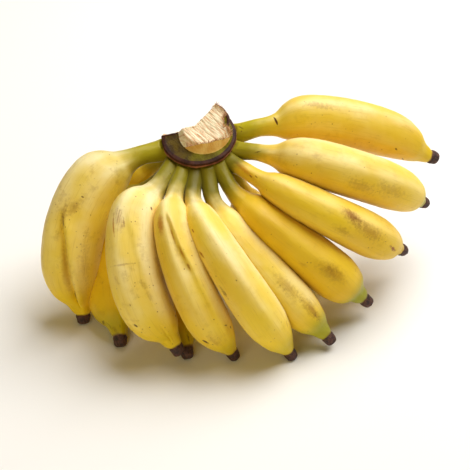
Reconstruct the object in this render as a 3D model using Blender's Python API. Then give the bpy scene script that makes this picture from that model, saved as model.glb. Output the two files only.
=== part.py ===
"""A hand of short, plump bananas, lying claw-like on a table with its cut crown on top.

The fingers fan out from the crown in two rows and bend down to their tips, and the hand stands on
some of those tips. Sizes are in millimetres until a mesh is made, and then in metres. X runs to the
right of the hand, Y to its back and Z up, from the table under the crown.
"""

import math
from typing import NamedTuple

import bmesh
import bpy
from mathutils import Matrix, Vector

MM = 0.001
GAP = 0.3

# The crown: the cushion of stalk that the fingers grow from
CROWN_HEIGHT = 112.0
CROWN_RADIUS = 25.0
CROWN_LEANS_FORWARD = 16.0
CROWN_LEANS_LEFT = 4.0
CROWN_SIDES = 28

# Every finger: lengths along it, and how its middle shifts towards its outer curve as it thickens
STALK_LENGTH = 22.0
NECK_BLEND = 7.0
PEDICEL = 30.0
TIP_LENGTH = 6.5
ROOT_DEPTH = 5.0
BELLY_OFFSET = 0.65
FINGER_SIDES = 15
PEDICEL_RINGS = 5
BODY_RINGS = 13
TIP_SIDES = 10

# How much of a standing tip is worn flat on the table
TIP_WEAR = 0.8

# Where the two rows of stalks leave the crown: how far below its ridge, and the share of its radius
ROW_DROP = {"upper": 5.5, "lower": 14.0}
ROW_INSET = {"upper": 0.93, "lower": 0.72}


class Finger(NamedTuple):
    """One banana, with angles in degrees.

    around is its place on the crown. stalk and neck are the bearing and pitch in which its stalk
    and then its fruit set off, where -90 points to the front of the hand. tip is where its dried
    tip ends: x, y and height. A height of 0 stands it on the table. girth is its radius where it
    is thickest, and flat is the share of that which its neighbours leave it from side to side.
    """

    name: str
    row: str
    around: float
    stalk: tuple
    neck: tuple
    tip: tuple
    girth: float
    flat: float


FINGERS = (
    Finger("finger_01", "upper", -172, (-164, -11), (-150, -22), (-80, -64, 0), 20.0, 0.85),
    Finger("finger_02", "lower", -152, (-160, -45), (-160, -45), (-53, -90, 0), 17.5, 0.80),
    Finger("finger_03", "upper", -136, (-118, -18), (-121, -15), (-12, -106, 9), 18.5, 0.80),
    Finger("finger_04", "upper", -116, (-108, -20), (-90, -12), (25, -100, 0), 16.5, 0.75),
    Finger("finger_05", "upper", -97, (-97, -28), (-69, -11), (64, -100, 0), 17.0, 0.72),
    Finger("finger_06", "upper", -76, (-82, -40), (-44, -33), (91, -90, 5), 16.5, 0.72),
    Finger("finger_07", "upper", -56, (-60, -36), (-26, -31), (118, -59, 13), 19.5, 0.72),
    Finger("finger_08", "upper", -37, (-42, -12), (-30, -12), (144, -18, 27), 17.0, 0.75),
    Finger("finger_09", "upper", -14, (-22, 0), (-13, -4), (161, 15, 44), 17.5, 0.95),
    Finger("finger_10", "upper", 17, (3, 9), (15, -7), (169, 35, 69), 16.5, 0.90),
    Finger("finger_11", "lower", -118, (-115, -60), (-115, -60), (-7, -102, 0), 15.5, 0.80),
    Finger("finger_12", "lower", 168, (166, -48), (166, -42), (-64, -22, 0), 15.5, 0.80),
    Finger("finger_13", "lower", -35, (-5, -60), (-5, -60), (103, -15, 0), 15.0, 0.80),
)

# Fingers that are pressed in where they lie against another, and that other one
PRESSED = (
    ("finger_02", "finger_01"),
    ("finger_02", "finger_12"),
    ("finger_04", "finger_03"),
    ("finger_05", "finger_04"),
    ("finger_06", "finger_05"),
    ("finger_07", "finger_06"),
    ("finger_07", "finger_08"),
    ("finger_08", "finger_09"),
    ("finger_10", "finger_09"),
    ("finger_11", "finger_03"),
    ("finger_11", "finger_04"),
    ("finger_13", "finger_07"),
    ("finger_13", "finger_08"),
)

# How a fruit bends: how far along it, and the share of its whole turn that is made by there
BEND = ((0.0, 0.0), (0.2, 0.32), (0.55, 0.75), (1.0, 1.0))

# The radius of every stalk, and of every fruit where it ends
STALK_RADIUS = 4.8
FRUIT_END_RADIUS = 4.3

# A fruit's thickness between those: how far along its body, and the share of its girth there
BODY_PROFILE = (
    (0.0, 0.46),
    (0.05, 0.70),
    (0.11, 0.88),
    (0.20, 0.97),
    (0.40, 1.0),
    (0.62, 0.98),
    (0.76, 0.89),
    (0.87, 0.68),
    (0.95, 0.42),
)

# The dried tip: how far along it, and the share of the radius where the fruit ends
TIP_PROFILE = ((0.0, 1.0), (0.35, 1.06), (0.75, 0.92), (1.0, 0.6))

# The crown's cushion: height from its ridge, and the share of its radius there
CUSHION_PROFILE = (
    (-22.0, 0.40),
    (-17.0, 0.66),
    (-8.0, 0.84),
    (-2.2, 0.93),
    (-0.8, 1.0),
    (0.8, 1.0),
    (2.2, 0.93),
)

# The stump above it: each ring's middle, its radius, and its heights at the front and at the back
STUMP_RINGS = (
    ((4.5, 0.0), 18.0, (3.0, 5.0)),
    ((5.5, 2.0), 15.5, (10.0, 14.0)),
)


def clear_scene():
    for old in list(bpy.data.objects):
        bpy.data.objects.remove(old)


def smooth_through(points, at):
    """The height at one place of a smooth curve through points, which rise in their first value."""
    if at <= points[0][0]:
        return points[0][1]
    if at >= points[-1][0]:
        return points[-1][1]
    last = len(points) - 1
    i = max(k for k in range(last) if points[k][0] <= at)

    def slope(k):
        before, after = points[max(k - 1, 0)], points[min(k + 1, last)]
        return (after[1] - before[1]) / (after[0] - before[0])

    (x0, y0), (x1, y1) = points[i], points[i + 1]
    span = x1 - x0
    t = (at - x0) / span
    return (
        (1 + 2 * t) * (1 - t) ** 2 * y0
        + t * (1 - t) ** 2 * span * slope(i)
        + t * t * (3 - 2 * t) * y1
        + t * t * (t - 1) * span * slope(i + 1)
    )


def heading(bearing, pitch):
    b, p = math.radians(bearing), math.radians(pitch)
    return Vector((math.cos(p) * math.cos(b), math.cos(p) * math.sin(b), math.sin(p)))


def crown_matrix():
    """The crown's own frame: its ridge lies level in it, round its origin."""
    lean = Matrix.Rotation(math.radians(CROWN_LEANS_FORWARD), 4, "X")
    roll = Matrix.Rotation(math.radians(-CROWN_LEANS_LEFT), 4, "Y")
    return Matrix.Translation((0, 0, CROWN_HEIGHT)) @ roll @ lean


def root_of(finger):
    reach = CROWN_RADIUS * ROW_INSET[finger.row]
    a = math.radians(finger.around)
    return crown_matrix() @ Vector((reach * math.cos(a), reach * math.sin(a), -ROW_DROP[finger.row]))


class Path:
    """A finger's middle line: a straight stalk, and then a flat curve to the tip's place."""

    STEPS = 100

    def __init__(self, finger, tip):
        self.finger = finger
        self.root = root_of(finger)
        self.stalk = heading(*finger.stalk)
        neck = self.root + self.stalk * STALK_LENGTH
        start = heading(*finger.neck)
        chord = Vector(tip) - neck
        self.side = start.cross(chord).normalized()
        wanted = start.angle(chord)
        low, high = 0.0, math.radians(200)
        for _ in range(30):
            self.turn = (low + high) / 2
            end = self.walk(1.0)[-1]
            if math.atan2(end.y, end.x) < wanted:
                low = self.turn
            else:
                high = self.turn
        self.curve_length = chord.length / self.walk(1.0)[-1].length
        self.length = STALK_LENGTH + self.curve_length
        rise = self.side.cross(start)
        self.points = [neck + start * p.x + rise * p.y for p in self.walk(self.curve_length)]
        self.fruit_end = self.length - TIP_LENGTH - GAP
        self.body = self.fruit_end - PEDICEL

    def walk(self, length):
        """The curve in its own plane, with its first direction as X."""
        step = length / self.STEPS
        points = [Vector((0, 0))]
        for i in range(self.STEPS):
            a = self.turn * smooth_through(BEND, (i + 0.5) / self.STEPS)
            points.append(points[-1] + Vector((math.cos(a), math.sin(a))) * step)
        return points

    def sharp_point(self, s):
        """The point there of the stalk and curve before the bend between them is rounded."""
        if s <= STALK_LENGTH:
            return self.root + self.stalk * s
        at = min((s - STALK_LENGTH) / self.curve_length, 1.0) * self.STEPS
        i = min(int(at), self.STEPS - 1)
        return self.points[i].lerp(self.points[i + 1], at - i)

    def point(self, s):
        reach = min(NECK_BLEND, max(self.length - s, 0.0))
        near = [self.sharp_point(s + reach * share) for share in (-1, -0.6, -0.2, 0.2, 0.6, 1)]
        return sum(near, Vector()) / len(near)

    def direction(self, s):
        ahead = min(s + 0.5, self.length)
        return (self.point(ahead) - self.point(ahead - 1)).normalized()

    def radius(self, s):
        along = [(0.0, STALK_RADIUS), (0.6 * PEDICEL, STALK_RADIUS)]
        along += [(PEDICEL + at * self.body, share * self.finger.girth) for at, share in BODY_PROFILE]
        along += [(self.fruit_end, FRUIT_END_RADIUS)]
        return smooth_through(along, s)

    def frame(self, s):
        """The middle of the section there, its outward side and its cross side."""
        direction = self.direction(s)
        outward = direction.cross(self.side).normalized()
        swell = max(self.radius(s) - STALK_RADIUS, 0.0)
        return self.point(s) + outward * BELLY_OFFSET * swell, outward, outward.cross(direction)


def section(path, s, sides, grow=0.0):
    """One ring round a finger: a soft pentagon on the fruit, and narrower than deep on the stalk."""
    centre, outward, across = path.frame(s)
    radius = path.radius(s)
    on_body = min(max((s / PEDICEL - 0.6) / 0.5, 0.0), 1.0)
    flat = path.finger.flat
    flat += (0.94 - flat) * min(max((s / PEDICEL - 1.6) / 2.4, 0.0), 1.0)
    deep = radius * (1.15 - 0.10 * on_body) + grow
    wide = radius * (0.9 + (flat - 0.9) * on_body) + grow
    ring = []
    for k in range(sides):
        a = 2 * math.pi * k / sides
        r = 1 + 0.035 * on_body * math.cos(5 * a)
        ring.append(centre + outward * (r * deep * math.cos(a)) + across * (r * wide * math.sin(a)))
    return ring


def finger_rings(path, grow=0.0):
    neck = 0.9 * PEDICEL
    places = [-ROOT_DEPTH + (neck + ROOT_DEPTH) * i / PEDICEL_RINGS for i in range(PEDICEL_RINGS)]
    rest = path.fruit_end - neck
    places += [neck + rest * i / BODY_RINGS for i in range(BODY_RINGS + 1)]
    return [section(path, s, FINGER_SIDES, grow) for s in places]


def tip_rings(path):
    rings = []
    for along, share in TIP_PROFILE:
        centre, outward, across = path.frame(path.fruit_end + GAP + along * TIP_LENGTH)
        radius = path.radius(path.fruit_end) * share
        ring = []
        for k in range(TIP_SIDES):
            a = 2 * math.pi * k / TIP_SIDES
            r = radius * (1 + 0.06 * math.cos(5 * a))
            ring.append(centre + outward * r * math.cos(a) + across * r * math.sin(a))
        rings.append(ring)
    return rings


def path_of(finger):
    """The finger's path. One that stands has its tip sunk into the table by as much as it's worn."""
    x, y, height = finger.tip
    if height > 0:
        return Path(finger, (x, y, height))
    height = 3.0
    for _ in range(4):
        path = Path(finger, (x, y, height))
        height -= TIP_WEAR + min(p.z for ring in tip_rings(path) for p in ring)
    return path


def crown_ring(centre, radius, heights):
    """One ring of the crown, with its heights at the front left and at the back right."""
    frame = crown_matrix()
    ring = []
    for k in range(CROWN_SIDES):
        a = 2 * math.pi * k / CROWN_SIDES
        back = (1 + math.cos(a - math.radians(60))) / 2
        x = centre[0] + radius * math.cos(a)
        y = centre[1] + radius * math.sin(a)
        ring.append(frame @ Vector((x, y, heights[0] + (heights[1] - heights[0]) * back)))
    return ring


def cushion_rings(grow=0.0):
    rings = []
    for height, share in CUSHION_PROFILE:
        height += math.copysign(grow, height)
        rings.append(crown_ring((0, 0), CROWN_RADIUS * share + grow, (height, height)))
    return rings


def crown_rings():
    return cushion_rings() + [crown_ring(*ring) for ring in STUMP_RINGS]


def cut_away_rings():
    """The wedge that is missing from the crown's back left. It is wider at the top."""
    frame = crown_matrix()
    corners = ((-2, 1.5), (26, 35), (-40, 60), (-50, -5))
    rings = []
    for height, back in ((-30, 20), (24, -7)):
        shift = Vector((-0.6, 0.8, 0)) * back
        rings.append([frame @ (Vector((x, y, height)) + shift) for x, y in corners])
    return rings


def table_rings():
    reach = 300
    corners = ((-reach, -reach), (reach, -reach), (reach, reach), (-reach, reach))
    return [[Vector((x, y, height)) for x, y in corners] for height in (-20, 0)]


def loft(name, rings, material=None):
    """A closed solid through rings that have the same number of points, with flat ends."""
    bm = bmesh.new()
    made = [[bm.verts.new(p * MM) for p in ring] for ring in rings]
    for low, high in zip(made, made[1:]):
        for k in range(len(low)):
            after = (k + 1) % len(low)
            bm.faces.new((low[k], low[after], high[after], high[k]))
    bm.faces.new(made[0][::-1])
    bm.faces.new(made[-1])
    bmesh.ops.recalc_face_normals(bm, faces=bm.faces)
    mesh = bpy.data.meshes.new(name)
    bm.to_mesh(mesh)
    bm.free()
    mesh.shade_smooth()
    if material:
        mesh.materials.append(material)
    return bpy.data.objects.new(name, mesh)


def material(name, colour, roughness):
    made = bpy.data.materials.new(name)
    made.use_nodes = True
    shader = made.node_tree.nodes["Principled BSDF"]
    shader.inputs["Base Color"].default_value = (*colour, 1)
    shader.inputs["Roughness"].default_value = roughness
    made.diffuse_color = (*colour, 1)
    return made


def cut(obj, cutter):
    modifier = obj.modifiers.new(cutter.name, "BOOLEAN")
    modifier.operation = "DIFFERENCE"
    modifier.solver = "EXACT"
    modifier.object = cutter


def main():
    clear_scene()
    peel = material("peel", (0.83, 0.62, 0.10), 0.45)
    dry = material("dried_tip", (0.07, 0.035, 0.03), 0.8)
    skin = material("crown_skin", (0.30, 0.28, 0.05), 0.6)
    hand = bpy.data.collections.new("banana_hand")
    cutters = bpy.data.collections.new("cutters")
    for collection in (hand, cutters):
        bpy.context.scene.collection.children.link(collection)

    paths = {finger.name: path_of(finger) for finger in FINGERS}
    crown = loft("crown", crown_rings(), skin)
    fingers = {name: loft(name, finger_rings(path), peel) for name, path in paths.items()}
    tips = {
        name: loft(name.replace("finger", "tip"), tip_rings(path), dry)
        for name, path in paths.items()
    }

    cut_away = loft("crown_cut_away", cut_away_rings())
    cushion = loft("room_for_crown", cushion_rings(GAP))
    table = loft("table", table_rings())
    room = {
        other: loft(f"room_for_{other}", finger_rings(paths[other], GAP))
        for other in sorted({other for _, other in PRESSED})
    }

    cut(crown, cut_away)
    for finger in fingers.values():
        cut(finger, cushion)
    for name, other in PRESSED:
        cut(fingers[name], room[other])
    for name, path in paths.items():
        if path.finger.tip[2] == 0:
            cut(tips[name], table)

    for obj in (crown, *fingers.values(), *tips.values()):
        hand.objects.link(obj)
    for obj in (cut_away, cushion, table, *room.values()):
        obj.hide_render = True
        obj.display_type = "WIRE"
        cutters.objects.link(obj)

    # The middle of the box that holds the hand becomes the origin
    places = [v.co for obj in (*fingers.values(), *tips.values()) for v in obj.data.vertices]
    spans = [(min(p[axis] for p in places), max(p[axis] for p in places)) for axis in (0, 1)]
    middle = Vector([(low + high) / 2 for low, high in spans] + [0])
    for obj in (*hand.objects, *cutters.objects):
        obj.data.transform(Matrix.Translation(-middle))


main()
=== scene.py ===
# %% [markdown]
# # A hand of short, plump bananas
#
# One hand of ripe bananas stands claw-like on its dried tips, with its cut crown on top. The CAD frame holds
# plain solids at the real size: a crown, the fruits and their tips. This lesson replaces them with fine
# surfaces that follow the same middle lines and sections, and gives them peel, bruises and torn fibres.

# %% Load the frame
import math
from typing import NamedTuple

import bmesh
import bpy
import numpy as np
from mathutils import Matrix, Vector, noise
from mathutils.bvhtree import BVHTree


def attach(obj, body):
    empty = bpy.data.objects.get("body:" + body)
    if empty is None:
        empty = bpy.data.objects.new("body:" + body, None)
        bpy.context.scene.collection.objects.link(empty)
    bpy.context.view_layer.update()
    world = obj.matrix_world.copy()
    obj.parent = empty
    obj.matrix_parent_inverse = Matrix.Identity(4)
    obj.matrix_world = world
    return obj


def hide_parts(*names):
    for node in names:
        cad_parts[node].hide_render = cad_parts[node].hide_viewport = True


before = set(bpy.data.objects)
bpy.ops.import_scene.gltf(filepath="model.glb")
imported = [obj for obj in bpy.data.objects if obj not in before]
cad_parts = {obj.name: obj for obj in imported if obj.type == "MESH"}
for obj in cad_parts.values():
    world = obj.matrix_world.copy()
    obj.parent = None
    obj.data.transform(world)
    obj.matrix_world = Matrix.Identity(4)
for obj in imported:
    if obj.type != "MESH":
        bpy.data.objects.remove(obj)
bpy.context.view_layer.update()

# %% [markdown]
# ## Sizes
#
# Every length below is in millimetres, like the sizes a grower would measure, and MM turns it into Blender's
# metres. The hand is planned in its own frame, with the crown over its origin. The CAD box is centred on the
# row's origin, so HAND_MIDDLE is all it takes to go from one to the other.

# %% Name the sizes
MM = 0.001
HAND_MIDDLE = Vector((31.17, -35.44, 0.0))

CROWN_HEIGHT = 112.0
CROWN_RADIUS = 25.0
CROWN_LEANS_FORWARD = 16.0
CROWN_LEANS_LEFT = 4.0

STALK_LENGTH = 22.0
NECK_BLEND = 7.0
PEDICEL = 30.0
TIP_LENGTH = 6.5
TIP_GAP = 0.3
ROOT_DEPTH = 5.0
BELLY_OFFSET = 0.65
STALK_RADIUS = 4.8
FRUIT_END_RADIUS = 4.3
TIP_WEAR = 0.8

ROW_DROP = {"upper": 5.5, "lower": 14.0}
ROW_INSET = {"upper": 0.93, "lower": 0.72}


class Finger(NamedTuple):
    """One banana. around is its place on the crown, in degrees like the other angles.

    stalk and neck are the bearing and pitch in which its stalk and then its fruit set off. tip is where it
    ends: x, y and height, where 0 stands on the table. girth is its largest radius, and flat the share of it
    that the neighbours leave it from side to side near its neck.
    """

    row: str
    around: float
    stalk: tuple
    neck: tuple
    tip: tuple
    girth: float
    flat: float


FINGERS = {
    "01": Finger("upper", -172, (-164, -11), (-150, -22), (-80, -64, 0), 20.0, 0.85),
    "02": Finger("lower", -152, (-160, -45), (-160, -45), (-53, -90, 0), 17.5, 0.80),
    "03": Finger("upper", -136, (-118, -18), (-121, -15), (-12, -106, 9), 18.5, 0.80),
    "04": Finger("upper", -116, (-108, -20), (-90, -12), (25, -100, 0), 16.5, 0.75),
    "05": Finger("upper", -97, (-97, -28), (-69, -11), (64, -100, 0), 17.0, 0.72),
    "06": Finger("upper", -76, (-82, -40), (-44, -33), (91, -90, 5), 16.5, 0.72),
    "07": Finger("upper", -56, (-60, -36), (-26, -31), (118, -59, 13), 19.5, 0.72),
    "08": Finger("upper", -37, (-42, -12), (-30, -12), (144, -18, 27), 17.0, 0.75),
    "09": Finger("upper", -14, (-22, 0), (-13, -4), (161, 15, 44), 17.5, 0.95),
    "10": Finger("upper", 17, (3, 9), (15, -7), (169, 35, 69), 16.5, 0.90),
    "11": Finger("lower", -118, (-115, -60), (-115, -60), (-7, -102, 0), 15.5, 0.80),
    "12": Finger("lower", 168, (166, -48), (166, -42), (-64, -22, 0), 15.5, 0.80),
    "13": Finger("lower", -35, (-5, -60), (-5, -60), (103, -15, 0), 15.0, 0.80),
}

# Each pair is a finger that gives way, and the one that presses on it
PRESSED = (
    ("02", "01"), ("02", "12"), ("04", "03"), ("05", "04"), ("06", "05"), ("07", "06"),
    ("07", "08"), ("08", "09"), ("10", "09"), ("11", "03"), ("11", "04"), ("13", "07"),
    ("13", "08"),
)

BEND = ((0.0, 0.0), (0.2, 0.32), (0.55, 0.75), (1.0, 1.0))
BODY_PROFILE = (
    (0.0, 0.46), (0.05, 0.70), (0.11, 0.88), (0.20, 0.97), (0.40, 1.0),
    (0.62, 0.98), (0.76, 0.89), (0.87, 0.68), (0.95, 0.42),
)
TIP_PROFILE = ((0.0, 0.98), (0.12, 1.08), (0.4, 1.06), (0.75, 0.94), (0.9, 0.80), (0.97, 0.60), (1.0, 0.1))

# %% [markdown]
# ## The camera
#
# The picture looks down on the hand from 38 degrees, from its front, through a long lens. Marks on the peel
# are named later by where the picture shows them, so the camera comes first. FRAME_PX is the picture's side,
# and PX_SIZE is how many millimetres one pixel of it spans at the crown.

# %% Place the camera
CAMERA_ELEVATION = math.radians(38)
CAMERA_DISTANCE = 1100.0
FRAME_PX = 470
PX_SIZE = 0.68
SENSOR = 36.0
TARGET_RIGHT = 24.48
TARGET_DOWN = 66.64

camera_data = bpy.data.cameras.new("camera")
camera = bpy.data.objects.new("camera", camera_data)
bpy.context.scene.collection.objects.link(camera)
bpy.context.scene.camera = camera

look = Vector((0, math.cos(CAMERA_ELEVATION), -math.sin(CAMERA_ELEVATION)))
picture_up = Vector((0, math.sin(CAMERA_ELEVATION), math.cos(CAMERA_ELEVATION)))
picture_right = Vector((1, 0, 0))
crown_middle = Vector((0, 0, CROWN_HEIGHT)) - HAND_MIDDLE
target = crown_middle + picture_right * TARGET_RIGHT - picture_up * TARGET_DOWN
camera.location = (target - look * CAMERA_DISTANCE) * MM
camera.rotation_euler = (math.pi / 2 - CAMERA_ELEVATION, 0, 0)
camera_data.sensor_width = SENSOR
camera_data.lens = SENSOR * CAMERA_DISTANCE / (PX_SIZE * FRAME_PX)
camera_data.clip_end = 10
print("lens in mm:", round(camera_data.lens, 1))


def ray_through(x, y):
    """The direction from the camera through one place of the picture, counted from its top left."""
    half = FRAME_PX / 2
    across = (x - half) * PX_SIZE
    down = (y - half) * PX_SIZE
    return (look * CAMERA_DISTANCE + picture_right * across - picture_up * down).normalized()


# %% [markdown]
# ## The middle line of a banana
#
# A banana's middle line is a straight stalk and then a flat curve. The curve bends most near its start and
# straightens towards its tip, and the corner between the two is rounded. One list of shares says how the
# bend is spread, and a short search finds how much bend brings the curve to its tip's place. The CAD solids
# use the same line, so the fine surface stays close to the solid.

# %% Work out the middle lines


def smooth_through(points, at):
    """The height at one place of a smooth curve through points, which rise in their first value."""
    if at <= points[0][0]:
        return points[0][1]
    if at >= points[-1][0]:
        return points[-1][1]
    last = len(points) - 1
    i = max(k for k in range(last) if points[k][0] <= at)

    def slope(k):
        before, after = points[max(k - 1, 0)], points[min(k + 1, last)]
        return (after[1] - before[1]) / (after[0] - before[0])

    (x0, y0), (x1, y1) = points[i], points[i + 1]
    span = x1 - x0
    t = (at - x0) / span
    return (
        (1 + 2 * t) * (1 - t) ** 2 * y0
        + t * (1 - t) ** 2 * span * slope(i)
        + t * t * (3 - 2 * t) * y1
        + t * t * (t - 1) * span * slope(i + 1)
    )


def heading(bearing, pitch):
    b, p = math.radians(bearing), math.radians(pitch)
    return Vector((math.cos(p) * math.cos(b), math.cos(p) * math.sin(b), math.sin(p)))


def crown_matrix():
    """The crown's own frame, in millimetres: its ridge lies level in it, round its origin."""
    lean = Matrix.Rotation(math.radians(CROWN_LEANS_FORWARD), 4, "X")
    roll = Matrix.Rotation(math.radians(-CROWN_LEANS_LEFT), 4, "Y")
    return Matrix.Translation(crown_middle) @ roll @ lean


class Path:
    """A finger's middle line: a straight stalk, and then a flat curve to the tip's place."""

    STEPS = 100

    def __init__(self, finger, tip):
        reach = CROWN_RADIUS * ROW_INSET[finger.row]
        a = math.radians(finger.around)
        self.finger = finger
        self.root = crown_matrix() @ Vector((reach * math.cos(a), reach * math.sin(a), -ROW_DROP[finger.row]))
        self.stalk = heading(*finger.stalk)
        neck = self.root + self.stalk * STALK_LENGTH
        start = heading(*finger.neck)
        chord = Vector(tip) - HAND_MIDDLE - neck
        self.side = start.cross(chord).normalized()
        wanted = start.angle(chord)
        low, high = 0.0, math.radians(200)
        for _ in range(30):
            self.turn = (low + high) / 2
            end = self.walk(1.0)[-1]
            if math.atan2(end.y, end.x) < wanted:
                low = self.turn
            else:
                high = self.turn
        self.curve_length = chord.length / self.walk(1.0)[-1].length
        self.length = STALK_LENGTH + self.curve_length
        rise = self.side.cross(start)
        self.points = [neck + start * p.x + rise * p.y for p in self.walk(self.curve_length)]
        self.fruit_end = self.length - TIP_LENGTH - TIP_GAP
        self.body = self.fruit_end - PEDICEL
        self.along = [(0.0, STALK_RADIUS), (0.6 * PEDICEL, STALK_RADIUS)]
        self.along += [(PEDICEL + at * self.body, share * finger.girth) for at, share in BODY_PROFILE]
        self.along += [(self.fruit_end, FRUIT_END_RADIUS)]

    def walk(self, length):
        """The curve in its own plane, with its first direction as X."""
        step = length / self.STEPS
        points = [Vector((0, 0))]
        for i in range(self.STEPS):
            a = self.turn * smooth_through(BEND, (i + 0.5) / self.STEPS)
            points.append(points[-1] + Vector((math.cos(a), math.sin(a))) * step)
        return points

    def sharp_point(self, s):
        """The point there of the stalk and curve before the bend between them is rounded."""
        if s <= STALK_LENGTH:
            return self.root + self.stalk * s
        at = min((s - STALK_LENGTH) / self.curve_length, 1.0) * self.STEPS
        i = min(int(at), self.STEPS - 1)
        return self.points[i].lerp(self.points[i + 1], at - i)

    def point(self, s):
        reach = min(NECK_BLEND, max(self.length - s, 0.0))
        near = [self.sharp_point(s + reach * share) for share in (-1, -0.6, -0.2, 0.2, 0.6, 1)]
        return sum(near, Vector()) / len(near)

    def direction(self, s):
        ahead = min(s + 0.5, self.length)
        return (self.point(ahead) - self.point(ahead - 1)).normalized()

    def radius(self, s):
        return smooth_through(self.along, s)


def tip_bottom(path):
    """The height of the lowest point of a finger's dried tip."""
    lowest = []
    for along, share in TIP_PROFILE:
        s = path.fruit_end + along * (path.length - path.fruit_end)
        level = math.sqrt(max(1 - path.direction(s).z ** 2, 0))
        lowest.append(path.point(s).z - FRUIT_END_RADIUS * share * level)
    return min(lowest)


def path_of(finger):
    """The finger's path. One that stands has its tip sunk into the table by as much as it's worn."""
    x, y, height = finger.tip
    if height > 0:
        return Path(finger, finger.tip)
    height = 3.0
    for _ in range(4):
        path = Path(finger, (x, y, height))
        height -= TIP_WEAR + tip_bottom(path)
    return path


paths = {number: path_of(finger) for number, finger in FINGERS.items()}
print("fruit lengths in mm:", {number: round(path.body) for number, path in paths.items()})

# %% [markdown]
# ## A small helper for node trees
#
# Geometry and shader trees are both made of nodes whose inputs are numbers, vectors or other nodes' outputs.
# This helper adds a node and fills its inputs in one call, so that a tree reads like a list of steps.

# %% Write the node helper


class Nodes:
    """Adds nodes to a tree. An input is a value or another node's output."""

    def __init__(self, name, kind, inputs, outputs):
        self.tree = bpy.data.node_groups.new(name, kind)
        for label, socket, value in inputs:
            made = self.tree.interface.new_socket(label, in_out="INPUT", socket_type=socket)
            if value is not None:
                made.default_value = value
        for label, socket in outputs:
            self.tree.interface.new_socket(label, in_out="OUTPUT", socket_type=socket)
        self.inputs = self.tree.nodes.new("NodeGroupInput").outputs
        self.out = self.tree.nodes.new("NodeGroupOutput")

    def add(self, kind, inputs=None, **settings):
        """inputs maps a socket's name or number to its value."""
        node = self.tree.nodes.new(kind)
        for name, value in settings.items():
            setattr(node, name, value)
        for socket, value in (inputs or {}).items():
            self.fill(node.inputs[socket], value)
        return node

    def fill(self, socket, value):
        if isinstance(value, bpy.types.NodeSocket):
            self.tree.links.new(value, socket)
        else:
            socket.default_value = value

    def math(self, operation, *values, clamp=False):
        node = self.add("ShaderNodeMath", dict(enumerate(values)), operation=operation, use_clamp=clamp)
        return node.outputs[0]

    def vector(self, operation, *values):
        node = self.add("ShaderNodeVectorMath", dict(enumerate(values)), operation=operation)
        return node.outputs["Vector"]

    def scaled(self, vector, by):
        return self.add("ShaderNodeVectorMath", {0: vector, "Scale": by}, operation="SCALE").outputs["Vector"]

    def ramp(self, value, low, high, out_low=0.0, out_high=1.0, smooth=True):
        """Maps value from low..high to out_low..out_high, held at both ends."""
        kind = "SMOOTHSTEP" if smooth else "LINEAR"
        places = {"Value": value, "From Min": low, "From Max": high, "To Min": out_low, "To Max": out_high}
        return self.add("ShaderNodeMapRange", places, interpolation_type=kind).outputs["Result"]

    def combine(self, x, y, z):
        return self.add("ShaderNodeCombineXYZ", {"X": x, "Y": y, "Z": z}).outputs[0]

    def split(self, vector):
        return self.add("ShaderNodeSeparateXYZ", {0: vector}).outputs

    def noise(self, vector, scale, detail=2.0, roughness=0.5):
        places = {"Vector": vector, "Scale": scale, "Detail": detail, "Roughness": roughness}
        return self.add("ShaderNodeTexNoise", places).outputs[0]

    def mix(self, factor, a, b, blend="MIX"):
        node = self.add("ShaderNodeMix", {"Factor": factor}, data_type="RGBA", blend_type=blend)
        self.fill(node.inputs[6], a)
        self.fill(node.inputs[7], b)
        return node.outputs[2]


# %% [markdown]
# ## The fruit's surface: one Geometry Nodes tree
#
# A banana is a section carried along its middle line, so a tree can make it from that line alone. The tree
# starts from a flat grid. One side of the grid runs along the fruit and the other goes round it. Each row
# is moved to its place on the line and rolled into a ring: deeper than wide on the stalk, and on the fruit
# a soft pentagon whose five ridges are the edges of the peel's five strips. The first and last rows shrink
# to a point, which closes the skin. The same tree makes the dried tips, with other numbers.

# %% Build the fruit skin tree
RIDGE_SHARPNESS = 1.2
RIDGE_MEAN = 0.4198


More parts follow.
